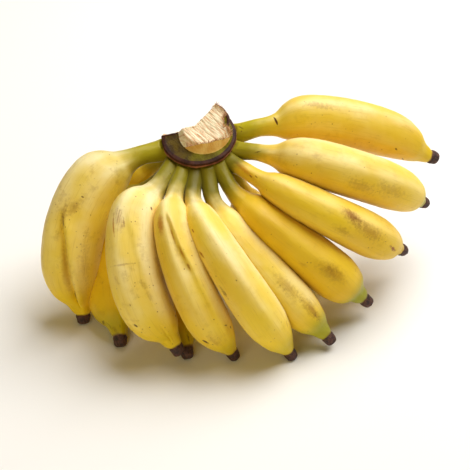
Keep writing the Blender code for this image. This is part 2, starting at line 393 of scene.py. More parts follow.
def fruit_skin_tree():
    n = Nodes(
        "fruit_skin",
        "GeometryNodeTree",
        [
            ("Geometry", "NodeSocketGeometry", None),
            ("Side", "NodeSocketVector", (1, 0, 0)),
            ("Girth", "NodeSocketFloat", 0.018),
            ("Flatness", "NodeSocketFloat", 0.9),
            ("Root depth", "NodeSocketFloat", ROOT_DEPTH * MM),
            ("Fruit end", "NodeSocketFloat", 0.15),
            ("Stalk length", "NodeSocketFloat", PEDICEL * MM),
            ("Stalk width", "NodeSocketFloat", 0.9),
            ("Ridge height", "NodeSocketFloat", 0.06),
            ("Ridge turn", "NodeSocketFloat", 0.0),
            ("Lump height", "NodeSocketFloat", 0.0004),
            ("Lump scale", "NodeSocketFloat", 90.0),
            ("Seed", "NodeSocketFloat", 0.0),
            ("Rings", "NodeSocketInt", 200),
            ("Sides", "NodeSocketInt", 96),
            ("Material", "NodeSocketMaterial", None),
        ],
        [("Geometry", "NodeSocketGeometry")],
    )
    given = n.inputs
    columns = n.math("ADD", given["Sides"], 1.0)
    grid_sizes = {"Size X": 1.0, "Size Y": 1.0, "Vertices X": given["Rings"], "Vertices Y": columns}
    grid = n.add("GeometryNodeMeshGrid", grid_sizes)
    place = n.split(n.add("GeometryNodeInputPosition").outputs[0])
    row = n.math("ADD", place["X"], 0.5)
    angle = n.math("MULTIPLY", place["Y"], 2 * math.pi)
    step = n.math("DIVIDE", 1.0, n.math("SUBTRACT", given["Rings"], 1.0))
    last = n.math("SUBTRACT", 1.0, step)
    along = n.ramp(row, step, last, smooth=False)
    half_step = n.math("MULTIPLY", step, 0.5)
    past_first = n.math("GREATER_THAN", row, half_step)
    before_last = n.math("LESS_THAN", row, n.math("ADD", last, half_step))
    opened = n.math("MULTIPLY", past_first, before_last)

    radius_field = n.add("GeometryNodeInputRadius").outputs[0]
    line = n.add(
        "GeometryNodeSampleCurve",
        {"Curves": given["Geometry"], "Value": radius_field, "Factor": along},
        mode="FACTOR",
        use_all_curves=True,
    ).outputs
    length = n.add("GeometryNodeCurveLength", {0: given["Geometry"]}).outputs[0]
    s = n.math("SUBTRACT", n.math("MULTIPLY", along, length), given["Root depth"])
    outward = n.vector("NORMALIZE", n.vector("CROSS_PRODUCT", line["Tangent"], given["Side"]))
    swell = n.math("MAXIMUM", n.math("SUBTRACT", line["Value"], STALK_RADIUS * MM), 0.0)
    belly = n.scaled(outward, n.math("MULTIPLY", swell, BELLY_OFFSET))
    centre = n.vector("ADD", line["Position"], belly)

    in_stalks = n.math("DIVIDE", s, given["Stalk length"])
    on_body = n.ramp(in_stalks, 0.6, 1.1, smooth=False)
    past_neck = n.ramp(in_stalks, 1.6, 4.0, smooth=False)
    free = n.math("SUBTRACT", 0.94, given["Flatness"])
    flat = n.math("ADD", given["Flatness"], n.math("MULTIPLY", free, past_neck))
    deep = n.math("MULTIPLY", line["Value"], n.ramp(on_body, 0.0, 1.0, 1.15, 1.05, smooth=False))
    stalk_wide = given["Stalk width"]
    narrowed = n.math("ADD", stalk_wide, n.math("MULTIPLY", n.math("SUBTRACT", flat, stalk_wide), on_body))
    wide = n.math("MULTIPLY", line["Value"], narrowed)

    fifth = n.math("MULTIPLY", n.math("SUBTRACT", angle, given["Ridge turn"]), 5.0)
    below_top = n.math("SUBTRACT", n.math("COSINE", fifth), 1.0)
    peak = n.math("EXPONENT", n.math("MULTIPLY", below_top, RIDGE_SHARPNESS))
    bulge = n.math("MULTIPLY", n.math("SUBTRACT", peak, RIDGE_MEAN), given["Ridge height"])
    ridge = n.math("MULTIPLY", bulge, on_body)
    cos_a, sin_a = n.math("COSINE", angle), n.math("SINE", angle)
    girth = given["Girth"]
    skin_place = n.combine(n.math("MULTIPLY", cos_a, girth), n.math("MULTIPLY", sin_a, girth), s)
    seeded = n.vector("ADD", skin_place, n.combine(given["Seed"], 0.0, 0.0))
    lump = n.math("SUBTRACT", n.noise(seeded, given["Lump scale"], 3.0), 0.5)
    lumps = n.math("MULTIPLY", n.math("MULTIPLY", lump, given["Lump height"]), 2.0)

    def reach(size):
        ridged = n.math("MULTIPLY", size, n.math("ADD", 1.0, ridge))
        return n.math("MULTIPLY", n.math("ADD", ridged, lumps), opened)

    across = n.vector("CROSS_PRODUCT", outward, line["Tangent"])
    ring = n.vector(
        "ADD",
        n.scaled(outward, n.math("MULTIPLY", reach(deep), cos_a)),
        n.scaled(across, n.math("MULTIPLY", reach(wide), sin_a)),
    )
    moved = n.vector("ADD", centre, ring)
    to_end = n.math("SUBTRACT", given["Fruit end"], s)
    stored = n.add(
        "GeometryNodeStoreNamedAttribute",
        {
            "Geometry": grid.outputs["Mesh"],
            "Name": "peel",
            "Value": n.combine(n.math("MULTIPLY", angle, girth), s, to_end),
        },
        data_type="FLOAT_VECTOR",
        domain="CORNER",
    )
    wrapped = n.add("GeometryNodeSetPosition", {"Geometry": stored.outputs[0], "Position": moved})
    welded = n.add("GeometryNodeMergeByDistance", {"Geometry": wrapped.outputs[0], "Distance": 0.002 * MM})
    smooth = n.add("GeometryNodeSetShadeSmooth", {"Geometry": welded.outputs[0]})
    real = n.add("GeometryNodeRealizeInstances", {0: smooth.outputs[0]})
    coated = n.add("GeometryNodeSetMaterial", {"Geometry": real.outputs[0], "Material": given["Material"]})
    n.fill(n.out.inputs[0], coated.outputs[0])
    return n.tree


skin_tree = fruit_skin_tree()
print("fruit skin tree:", len(skin_tree.nodes), "nodes")

# %% [markdown]
# ## From a tree to a plain mesh
#
# A modifier's inputs go by identifiers such as Socket_3, so a short function looks each one up by its name.
# The evaluated result becomes a mesh of its own, and the line that it grew from is removed.

# %% Run a tree on an object


def grown(name, obj, tree, **values):
    """The mesh that the tree makes from obj, with spaces for the underscores in the inputs' names."""
    modifier = obj.modifiers.new("tree", "NODES")
    modifier.node_group = tree
    sockets = {item.name: item.identifier for item in tree.interface.items_tree if item.in_out == "INPUT"}
    for label, value in values.items():
        modifier[sockets[label.replace("_", " ")]] = value
    bpy.context.view_layer.update()
    evaluated = obj.evaluated_get(bpy.context.evaluated_depsgraph_get())
    mesh = bpy.data.meshes.new_from_object(evaluated)
    mesh.name = name
    return mesh


def line_object(name, points, radii):
    """A curve through points, in millimetres, that carries a radius at each of them."""
    curve = bpy.data.curves.new(name, "CURVE")
    curve.dimensions = "3D"
    spline = curve.splines.new("POLY")
    spline.points.add(len(points) - 1)
    for made, p, radius in zip(spline.points, points, radii):
        made.co = (*(p * MM), 1)
        made.radius = radius * MM
    obj = bpy.data.objects.new(name, curve)
    bpy.context.scene.collection.objects.link(obj)
    return obj


def piece(name, mesh, slot, *nodes):
    """Puts a finished mesh in the scene as a piece that stands for CAD nodes."""
    obj = bpy.data.objects.new(name, mesh)
    bpy.context.scene.collection.objects.link(obj)
    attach(obj, "root")
    if nodes:
        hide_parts(*nodes)
    return obj


# %% [markdown]
# ## Colours
#
# Colours are given as a screen shows them, from 0 to 255. Blender's nodes take light as it is, so
# each one is turned into linear values first.

# %% Name the colours


def screen(red, green, blue):
    """A colour as a screen shows it, in Blender's linear values."""
    def linear(value):
        v = value / 255
        return v / 12.92 if v <= 0.04045 else ((v + 0.055) / 1.055) ** 2.4

    return (linear(red), linear(green), linear(blue), 1.0)


RIPE = screen(242, 207, 20)
# PALE is the peel's paler tone, and also the colour of the painted highlight where the peel faces up
PALE = screen(255, 238, 178)
GOLDEN = screen(226, 180, 0)
STALK_LIGHT = screen(190, 174, 24)
STALK_DARK = screen(108, 98, 0)
BEAK_GREEN = screen(160, 158, 0)
SCORCHED = screen(104, 66, 44)
LINE_BROWN = screen(186, 142, 22)

# A mark is thin brown skin over the yellow, so its colour is what it lets through, except for the orange,
# gold and crease-brown colours, which are painted shade laid in the folds and in deep gaps between fruits
BRUISE = (0.40, 0.24, 0.22, 1.0)
DARK_MARK = (0.13, 0.05, 0.05, 1.0)
# Painted shade: the orange of deep gaps between the fruits near the crown
PAINTED_GAP_SHADE_ORANGE = (0.62, 0.30, 0.15, 1.0)
# Painted shade: the darker golden low side of a fold
PAINTED_FOLD_SHADE_GOLD = (0.60, 0.46, 0.20, 1.0)
SMUDGE = (0.48, 0.34, 0.16, 1.0)
# Painted shade in narrow creases of the peel
PAINTED_CREASE_SHADE_BROWN = (0.62, 0.35, 0.14, 1.0)
SCAR = (0.42, 0.19, 0.03, 1.0)

# %% [markdown]
# ## The peel
#
# Ripe peel is a wax-coated yellow that turns olive green on the stalk and, on some fruits, at the beak. It is
# never one flat yellow: it is paler along the ridges and has faint lines along the fruit, and a painted
# highlight makes it paler still where it faces up. The fruit tree stored where each spot of the peel is (how
# far round, how far along, and how far from the end) so that the colours can follow the fruit. One node
# group turns this into a colour, a roughness and a height, and every fruit's material uses it. A second
# group lays one mark over a colour: a bruise, a scratch or a band of painted shade.

# %% Build the peel group


def peel_group():
    n = Nodes(
        "peel",
        "ShaderNodeTree",
        [
            ("Place", "NodeSocketVector", (0, 0, 0)),
            ("Position", "NodeSocketVector", (0, 0, 0)),
            ("Golden", "NodeSocketFloat", 0.3),
            ("Pale", "NodeSocketFloat", 0.3),
            ("Upward", "NodeSocketFloat", 0.5),
            ("Green to", "NodeSocketFloat", 0.040),
            ("Stalk shade", "NodeSocketFloat", 0.5),
            ("Beak green", "NodeSocketFloat", 0.0),
            ("Freckles", "NodeSocketFloat", 0.2),
            ("Girth", "NodeSocketFloat", 0.018),
            ("Ridge turn", "NodeSocketFloat", 0.0),
        ],
        [("Colour", "NodeSocketColor"), ("Roughness", "NodeSocketFloat"), ("Height", "NodeSocketFloat")],
    )
    place, position = n.inputs["Place"], n.inputs["Position"]
    around, along, to_end = n.split(place)
    clouds = n.noise(position, 28.0, 3.0)
    cloudy = n.math("MULTIPLY", n.math("SUBTRACT", clouds, 0.5), 1.6)
    tint = n.math("ADD", n.inputs["Golden"], cloudy, clamp=True)
    colour = n.mix(tint, RIPE, GOLDEN)
    drifts = n.noise(n.vector("ADD", position, (0.5, 0.0, 0.0)), 40.0, 3.0)
    turned = n.math("SUBTRACT", n.math("DIVIDE", around, n.inputs["Girth"]), n.inputs["Ridge turn"])
    on_ridge = n.math("COSINE", n.math("MULTIPLY", turned, 5.0))
    drifting = n.math("MULTIPLY", n.math("SUBTRACT", drifts, 0.5), 2.0)
    worn = n.math("ADD", n.math("MULTIPLY", on_ridge, 0.35), drifting)
    # The pale share grows where the peel faces up: a painted highlight
    pale_share_and_painted_highlight = n.math("MULTIPLY", n.inputs["Pale"], n.ramp(n.inputs["Upward"], 0.0, 1.0, 0.3, 1.2))
    pale_share_and_painted_highlight = n.math("MULTIPLY", pale_share_and_painted_highlight, n.ramp(to_end, 0.012, 0.032))
    pale = n.math("MULTIPLY", n.ramp(worn, -0.5, 0.6, 0.3, 1.0), pale_share_and_painted_highlight, clamp=True)
    colour = n.mix(pale, colour, PALE)

    lengthwise = n.combine(around, n.math("MULTIPLY", along, 0.06), 0.0)
    lines = n.noise(lengthwise, 900.0, 3.0, 0.6)
    line_mask = n.ramp(lines, 0.52, 0.72, 0.0, 0.22)
    colour = n.mix(line_mask, colour, LINE_BROWN)

    wander = n.math("MULTIPLY", n.math("SUBTRACT", n.noise(position, 90.0, 2.0), 0.5), 0.016)
    wandered = n.math("ADD", along, wander)
    full_green = n.math("MULTIPLY", n.inputs["Green to"], 0.35)
    green = n.ramp(wandered, full_green, n.inputs["Green to"], 1.0, 0.0)
    # Stalk shade darkens the stalk's green: partly the stalk's own colour, and partly painted shade on the
    # front stalks under the crown
    colour = n.mix(green, colour, n.mix(n.inputs["Stalk shade"], STALK_LIGHT, STALK_DARK))
    end_wandered = n.math("ADD", to_end, n.math("MULTIPLY", wander, 0.35))
    beak = n.math("MULTIPLY", n.ramp(end_wandered, 0.008, 0.023, 1.0, 0.0), n.inputs["Beak green"])
    colour = n.mix(beak, colour, BEAK_GREEN)
    scorched = n.ramp(n.math("ADD", to_end, n.math("MULTIPLY", wander, 0.12)), 0.0003, 0.0022, 0.9, 0.0)
    colour = n.mix(scorched, colour, SCORCHED)

    smudges = n.math("MULTIPLY", n.noise(position, 240.0, 5.0, 0.7), n.noise(position, 70.0, 2.0))
    smudged = n.math("MULTIPLY", n.inputs["Freckles"], 0.30)
    smudge_mask = n.math("MULTIPLY", n.ramp(smudges, 0.27, 0.42), smudged)
    colour = n.mix(smudge_mask, colour, SMUDGE, "MULTIPLY")

    cells = n.add("ShaderNodeTexVoronoi", {"Vector": position, "Scale": 420.0, "Randomness": 1.0})
    chance = n.split(cells.outputs["Color"])["X"]
    chosen = n.math("LESS_THAN", chance, n.math("MULTIPLY", n.inputs["Freckles"], 0.22))
    dot = n.ramp(cells.outputs["Distance"], 0.10, 0.26, 1.0, 0.0)
    patchy = n.ramp(n.noise(position, 45.0, 2.0), 0.42, 0.62)
    freckle = n.math("MULTIPLY", n.math("MULTIPLY", chosen, dot), patchy)
    colour = n.mix(n.math("MULTIPLY", freckle, 0.9), colour, BRUISE, "MULTIPLY")

    fine = n.noise(position, 900.0, 4.0, 0.6)
    height = n.math("ADD", n.math("MULTIPLY", fine, 0.5), n.math("MULTIPLY", lines, 0.5))
    roughness = n.ramp(n.noise(position, 140.0, 3.0), 0.3, 0.7, 0.40, 0.54)
    n.fill(n.out.inputs["Colour"], colour)
    n.fill(n.out.inputs["Roughness"], roughness)
    n.fill(n.out.inputs["Height"], n.math("SUBTRACT", height, n.math("MULTIPLY", freckle, 0.4)))
    return n.tree


def mark_group():
    """One mark on the peel: an ellipse with a ragged edge, broken up by lines along the fruit."""
    n = Nodes(
        "mark",
        "ShaderNodeTree",
        [
            ("Colour", "NodeSocketColor", RIPE),
            ("Place", "NodeSocketVector", (0, 0, 0)),
            ("Centre", "NodeSocketVector", (0, 0, 0)),
            ("Turn", "NodeSocketFloat", 0.0),
            ("Length", "NodeSocketFloat", 0.01),
            ("Width", "NodeSocketFloat", 0.004),
            ("Softness", "NodeSocketFloat", 0.5),
            ("Ragged", "NodeSocketFloat", 0.4),
            ("Grain", "NodeSocketFloat", 0.3),
            ("Strength", "NodeSocketFloat", 0.7),
            ("Mark", "NodeSocketColor", BRUISE),
        ],
        [("Colour", "NodeSocketColor")],
    )
    given = n.inputs
    offset = n.vector("MULTIPLY", n.vector("SUBTRACT", given["Place"], given["Centre"]), (1.0, 1.0, 0.0))
    turning = {"Vector": offset, "Angle": given["Turn"]}
    turned = n.add("ShaderNodeVectorRotate", turning, rotation_type="Z_AXIS")
    x, y, _ = n.split(turned.outputs[0])
    wide = n.math("DIVIDE", x, n.math("MULTIPLY", given["Width"], 0.5))
    long = n.math("DIVIDE", y, n.math("MULTIPLY", given["Length"], 0.5))
    far = n.math("SQRT", n.math("ADD", n.math("MULTIPLY", wide, wide), n.math("MULTIPLY", long, long)))
    rough_edge = n.math("SUBTRACT", n.noise(given["Place"], 420.0, 4.0, 0.65), 0.5)
    edge = n.math("MULTIPLY", rough_edge, given["Ragged"])
    far = n.math("ADD", far, n.math("MULTIPLY", edge, 3.0))
    inner = n.math("SUBTRACT", 1.0, given["Softness"])
    mask = n.ramp(far, inner, 1.0, 1.0, 0.0)
    around, along, _ = n.split(given["Place"])
    grain_place = n.combine(around, n.math("MULTIPLY", along, 0.12), 0.0)
    grain = n.ramp(n.noise(grain_place, 1100.0, 3.0, 0.6), 0.40, 0.60)
    broken = n.math("MULTIPLY", given["Grain"], n.math("SUBTRACT", 1.0, grain))
    mask = n.math("MULTIPLY", mask, n.math("SUBTRACT", 1.0, broken))
    mask = n.math("MULTIPLY", mask, given["Strength"], clamp=True)
    n.fill(n.out.inputs["Colour"], n.mix(mask, given["Colour"], given["Mark"], "MULTIPLY"))
    return n.tree


peel_tree = peel_group()
mark_tree = mark_group()
print("peel group:", len(peel_tree.nodes), "nodes; mark group:", len(mark_tree.nodes), "nodes")

# %% [markdown]
# ## Grow the fruits
#
# Each fruit gets its line, with the radius of the CAD profile at every place, a thicker stalk and a
# narrower beak, and the tree does the rest. Neighbours in a hand grow pressed together, so a fruit that
# lies against a firmer one has a hollow there. The solids have this as a cut. Here the points of the softer
# fruit that would lie inside the other are drawn towards its own middle line until they leave the other's
# plain sections. Those leave out its ridges and its stalk's thickness, so two skins still cross by up to
# about 2 millimetres where they touch. Last, the stalks are sunk and held down, so that they leave the
# crown from under its ridge.

# %% Grow one fruit
FINGER_SIDES = 128
FINGER_RINGS = 250
LINE_POINTS = 160
FLARE = 0.04
FLARE_REACH = 9.0
STALK_WIDTH = 1.02

# How much thicker than a plain stalk each stalk is, as a share, and where down the stalk that starts to fade
STALK_SWELL = {
    "01": 0.40, "02": 0.10, "03": 0.32, "04": 0.28, "05": 0.20, "06": 0.22, "07": 0.24, "08": 0.22,
    "09": 0.30, "10": 0.28,
}
SWELL_FADES_FROM = 8.0

# How much the last of the fruit narrows to a beak, as a share, and how far from its end and over what length
BEAK_WAIST = {"01": 0.16, "02": 0.18, "03": 0.20, "06": 0.08, "07": 0.20, "08": 0.10, "09": 0.12, "10": 0.10}
WAIST_FROM_END = 7.5
WAIST_LENGTH = 4.5
TUCK = 1.0
LOWEST_PEEL = 0.2

# The stalks leave from under the crown's ridge: how far they are sunk at most, and the lid that holds them
# down, with how far out it starts, how high it is there, and how it rises
SUNK_MOST = 3.4
LID_START = 25.8
LID_HEIGHT = -2.6
LID_SLOPE = 1.2
LID_SOFTNESS = 0.35

# Each fruit's ridges: how high, as a share of its radius, and how far they are turned round it, in degrees
RIDGES = {
    "01": (0.06, 20), "02": (0.05, 0), "03": (0.06, 22), "04": (0.07, 8), "05": (0.045, 20), "06": (0.03, 0),
    "07": (0.03, 10), "08": (0.035, 30), "09": (0.02, 0), "10": (0.04, 36), "11": (0.05, 0), "12": (0.05, 0),
    "13": (0.05, 0),
}


def step_between(value, low, high):
    """0 up to low, 1 from high on, and a smooth rise between them."""
    t = np.clip((value - low) / (high - low), 0, 1)
    return t * t * (3 - 2 * t)


def skin_radius(number, path, s):
    """The solid's radius there, with the stalk's thickness, its flare at the crown, and the beak's waist."""
    flare = FLARE * math.exp(-max(s, 0) / FLARE_REACH)
    swell = STALK_SWELL.get(number, 0.0) * (1 - step_between(s, SWELL_FADES_FROM, PEDICEL))
    to_waist = (path.fruit_end - s - WAIST_FROM_END) / WAIST_LENGTH
    waist = BEAK_WAIST.get(number, 0.0) * math.exp(-(to_waist**2))
    return path.radius(s) * (1 + flare + swell) * (1 - waist)


def fruit_mesh(number):
    path = paths[number]
    places = np.linspace(-ROOT_DEPTH, path.fruit_end + TUCK, LINE_POINTS)
    radii = [skin_radius(number, path, s) for s in places]
    line = line_object("line_" + number, [path.point(s) for s in places], radii)
    height, turn = RIDGES[number]
    mesh = grown(
        "finger_" + number,
        line,
        skin_tree,
        Side=path.side,
        Girth=path.finger.girth * MM,
        Flatness=path.finger.flat,
        Fruit_end=path.fruit_end * MM,
        Stalk_width=STALK_WIDTH,
        Ridge_height=height,
        Ridge_turn=math.radians(turn),
        Seed=0.1 * int(number),
        Rings=FINGER_RINGS,
        Sides=FINGER_SIDES,
    )
    bpy.data.objects.remove(line)
    return mesh


class Sections:
    """A fruit's sections as arrays, in millimetres, to find what lies inside them."""

    def __init__(self, path):
        s = np.linspace(-ROOT_DEPTH, path.fruit_end, 200)
        radius = np.array([path.radius(v) for v in s])
        tangent = np.array([path.direction(v) for v in s])
        outward = np.cross(tangent, np.array(path.side))
        self.outward = outward / np.linalg.norm(outward, axis=1)[:, None]
        self.across = np.cross(self.outward, tangent)
        swell = np.maximum(radius - STALK_RADIUS, 0)
        self.middle = np.array([path.point(v) for v in s]) + self.outward * (BELLY_OFFSET * swell)[:, None]
        on_body = np.clip((s / PEDICEL - 0.6) / 0.5, 0, 1)
        flat = path.finger.flat
        flat = flat + (0.94 - flat) * np.clip((s / PEDICEL - 1.6) / 2.4, 0, 1)
        self.deep = radius * (1.15 - 0.10 * on_body)
        self.wide = radius * (0.9 + (flat - 0.9) * on_body)

    def nearest(self, points):
        """The section whose middle is nearest to each of the points."""
        parts = np.array_split(points, 1 + len(points) // 2000)
        return np.concatenate([((part[:, None] - self.middle) ** 2).sum(2).argmin(1) for part in parts])

    def share(self, points):
        """How far out each point lies: 1 is on this fruit's surface, and less is inside it."""
        at = self.nearest(points)
        offset = points - self.middle[at]
        u = (offset * self.outward[at]).sum(1)
        v = (offset * self.across[at]).sum(1)
        return np.hypot(u / self.deep[at], v / self.wide[at])


def pressed_in(points, own, other):
    """The softer fruit's points, drawn towards its own middle until they leave the other fruit."""
    inside = np.nonzero(other.share(points) < 1)[0]
    middle = own.middle[own.nearest(points[inside])]
    ray = points[inside] - middle
    low, high = np.zeros(len(inside)), np.ones(len(inside))
    for _ in range(9):
        half = (low + high) / 2
        out = other.share(middle + ray * half[:, None]) >= 1
        low, high = np.where(out, half, low), np.where(out, high, half)
    points = points.copy()
    points[inside] = middle + ray * low[:, None]
    return points


def points_of(mesh):
    """A mesh's points, in millimetres."""
    flat = np.empty(3 * len(mesh.vertices))
    mesh.vertices.foreach_get("co", flat)
    return flat.reshape(-1, 3) / MM


def move_points(mesh, points):
    mesh.vertices.foreach_set("co", (points * MM).ravel())
    mesh.update()


def normals_of(mesh):
    """Which way a mesh faces at each of its points."""
    flat = np.empty(3 * len(mesh.vertices))
    mesh.vertices.foreach_get("normal", flat)
    return flat.reshape(-1, 3)


def crown_places(points):
    """These points in the crown's own frame, and the turn that brings a direction into it."""
    to_crown = crown_matrix().inverted()
    rotation = np.array(to_crown.to_3x3())
    return points @ rotation.T + np.array(to_crown.translation), rotation


def tucked(number, mesh):
    """A fruit's points with its stalk sunk and held under a lid that starts at the crown's ridge."""
    points = points_of(mesh)
    _, along = peel_places(mesh)
    _, rotation = crown_places(points)
    top = STALK_RADIUS * (1.12 + STALK_SWELL.get(number, 0.0)) - ROW_DROP[paths[number].finger.row]
    sunk = min(max(top - LID_HEIGHT, 0), SUNK_MOST)
    points = points - np.outer(sunk * (1 - step_between(along, 2, 20)), rotation[2])
    local, _ = crown_places(points)
    out = np.hypot(local[:, 0], local[:, 1]) - LID_START
    lid = LID_HEIGHT + LID_SLOPE * np.maximum(out, 0)
    over = np.clip((local[:, 2] - lid) / LID_SOFTNESS, -30, 30)
    drop = LID_SOFTNESS * np.log1p(np.exp(over)) * (out < 30)
    return points - np.outer(drop, rotation[2])


def peel_places(mesh):
    """Each point's stored place: how far round and how far along, in millimetres."""
    corners = np.empty(3 * len(mesh.loops))
    mesh.attributes["peel"].data.foreach_get("vector", corners)
    owners = np.empty(len(mesh.loops), dtype=int)
    mesh.loops.foreach_get("vertex_index", owners)
    places = np.zeros((len(mesh.vertices), 3))
    places[owners] = corners.reshape(-1, 3) / MM
    return places[:, 0], places[:, 1]


fruit_meshes = {number: fruit_mesh(number) for number in FINGERS}
sections = {number: Sections(path) for number, path in paths.items()}
for number, other in PRESSED:
    mesh = fruit_meshes[number]
    move_points(mesh, pressed_in(points_of(mesh), sections[number], sections[other]))
for number, mesh in fruit_meshes.items():
    points = tucked(number, mesh)
    points[:, 2] = np.maximum(points[:, 2], LOWEST_PEEL)
    move_points(mesh, points)
face_count = sum(len(mesh.polygons) for mesh in fruit_meshes.values())
print("fruits:", len(fruit_meshes), "with", face_count, "faces")

# %% [markdown]
# ## Folds in the peel
#
# Some of these fruits grew squeezed, so their peel has folds of its own that no rule gives. Each one is
# named by the places of the picture that it runs through. They become a line on the fruit's stored places.
# The points on one side of that line are raised along their normals, and those on the other side are sunk,
# most near the line itself.

# %% Fold the peel


class Fold(NamedTuple):
    """A ledge in one fruit's peel, through places of the picture, with lengths in millimetres.

    The peel is raised on one side of it by high, which fades over high_width, and sunk on the side of
    low_spot in the same way. crease is how deep a groove lies along the foot of the ledge, and sharpness how
    wide its slope is.
    """

    fruit: str
    high: float
    high_width: float
    low: float
    low_width: float
    crease: float
    sharpness: float
    low_spot: tuple
    spots: tuple


FOLDS = (
    Fold(
        "01", 3.0, 7.0, 2.8, 6.5, 1.8, 1.1, (58, 250),
        ((63, 208), (65, 240), (70, 268), (76, 294), (82, 312)),
    ),
    Fold(
        "03", 0.7, 5.0, 0.4, 7.0, 0.0, 1.6, (118, 262),
        ((126, 203), (132, 235), (141, 270), (151, 303), (162, 328)),
    ),
    Fold("03", 0.6, 2.5, 0.6, 2.0, 0.3, 0.6, (163, 340), ((160, 322), (167, 334), (173, 344))),
    Fold(
        "04", 1.5, 4.5, 1.3, 8.0, 0.0, 0.6, (172, 262),
        ((165, 209), (170, 224), (177, 244), (186, 261), (194, 275)),
    ),
    Fold(
        "04", 1.1, 5.0, 0.6, 7.0, 0.0, 1.2, (186, 300),
        ((188, 262), (196, 280), (208, 303), (220, 326), (230, 344)),
    ),
)


def picked(tree, mesh, spot):
    """Where a place of the picture lies on a fruit's peel: how far round and how far along."""
    _, _, face, _ = tree.ray_cast(camera.location, ray_through(*spot))
    if face is None:
        return None
    places = mesh.attributes["peel"].data
    corners = [places[i].vector for i in mesh.polygons[face].loop_indices]
    return sum((Vector(c) for c in corners), Vector()) / len(corners)


def tree_of(mesh):
    return BVHTree.FromPolygons([v.co for v in mesh.vertices], [p.vertices for p in mesh.polygons])


def line_distance(around, along, line, lap):
    """How far each place is to one side of a line on the peel, and how far along it, from 0 to 1.

    lap is the way round the fruit. The distance is below 0 on the other side.
    """
    nearest, side, share_of_all = np.full(len(around), 1e9), np.zeros(len(around)), np.zeros(len(around))
    for k, ((u0, s0), (u1, s1)) in enumerate(zip(line, line[1:])):
        u = (around - u0 + lap / 2) % lap - lap / 2
        run_u, run_s = (u1 - u0 + lap / 2) % lap - lap / 2, s1 - s0
        share = np.clip((u * run_u + (along - s0) * run_s) / (run_u**2 + run_s**2), 0, 1)
        off_u, off_s = u - share * run_u, along - s0 - share * run_s
        far = np.hypot(off_u, off_s)
        closer = far < nearest
        nearest[closer] = far[closer]
        side[closer] = np.sign(run_u * off_s - run_s * off_u)[closer]
        share_of_all[closer] = ((k + share) / (len(line) - 1))[closer]
    return side * nearest, share_of_all


def fold_peel(mesh, fold, tree):
    """Folds the peel along one line, and gives how many folds it made: 0 if a place misses the fruit."""
    spots = [picked(tree, mesh, spot) for spot in (*fold.spots, fold.low_spot)]
    if None in spots:
        print("fold misses fruit", fold.fruit, fold.spots[0])
        return 0
    *line, low_spot = [(spot.x / MM, spot.y / MM) for spot in spots]
    lap = 2 * math.pi * paths[fold.fruit].finger.girth
    far, share = line_distance(*peel_places(mesh), line, lap)
    (low_far,), _ = line_distance(np.array([low_spot[0]]), np.array([low_spot[1]]), line, lap)
    if low_far > 0:
        far = -far
    is_high = (1 + np.tanh(far / fold.sharpness)) / 2
    raised = fold.high * np.exp(-((far / fold.high_width) ** 2)) * is_high
    sunk = fold.low * np.exp(-((far / fold.low_width) ** 2)) * (1 - is_high)
    sunk += fold.crease * np.exp(-(((far + fold.sharpness) / (1.5 * fold.sharpness)) ** 2))
    fade = step_between(np.minimum(share, 1 - share), 0, 0.2)
    move_points(mesh, points_of(mesh) + normals_of(mesh) * ((raised - sunk) * fade)[:, None])
    return 1


def keep_share(mesh, name, values):
    """Stores a value from 0 to 1 at each point, for a material to read."""
    mesh.attributes.new(name, "FLOAT", "POINT").data.foreach_set("value", values.astype(np.float32))


folded = 0
for number, mesh in fruit_meshes.items():
    tree = tree_of(mesh)
    for fold in (f for f in FOLDS if f.fruit == number):
        folded += fold_peel(mesh, fold, tree)
print("folds made:", folded, "of", len(FOLDS))

# Keep how much each spot of the peel faces up, for the painted highlight that makes the peel paler there
PAINTED_HIGHLIGHT_FACING = np.array((0.15, 0.20, 0.97))
for mesh in fruit_meshes.values():
    keep_share(mesh, "upward", np.clip(normals_of(mesh) @ PAINTED_HIGHLIGHT_FACING, 0, 1))

# %% [markdown]
# ## Marks on the peel
#
# The bruises and scratches are what tell this hand from any other, so the larger ones are named with the
# two ends they have in the picture. A few entries are no marks but painted shade: bands in the folds and in
# the deep gaps between fruits, and the shaded side of finger 11. A ray from the camera through each end finds
# the fruit there, and the fruit's stored places turn the hits into a spot on the peel. From then on the mark
# belongs to the peel, seen from any side.

# %% List the marks


class Mark(NamedTuple):
    """A mark from one place of the picture to another, in pixels. width is in millimetres."""

    fruit: str
    start: tuple
    end: tuple
    width: float
    colour: tuple
    strength: float = 0.7
    softness: float = 0.6
    ragged: float = 0.35
    grain: float = 0.3


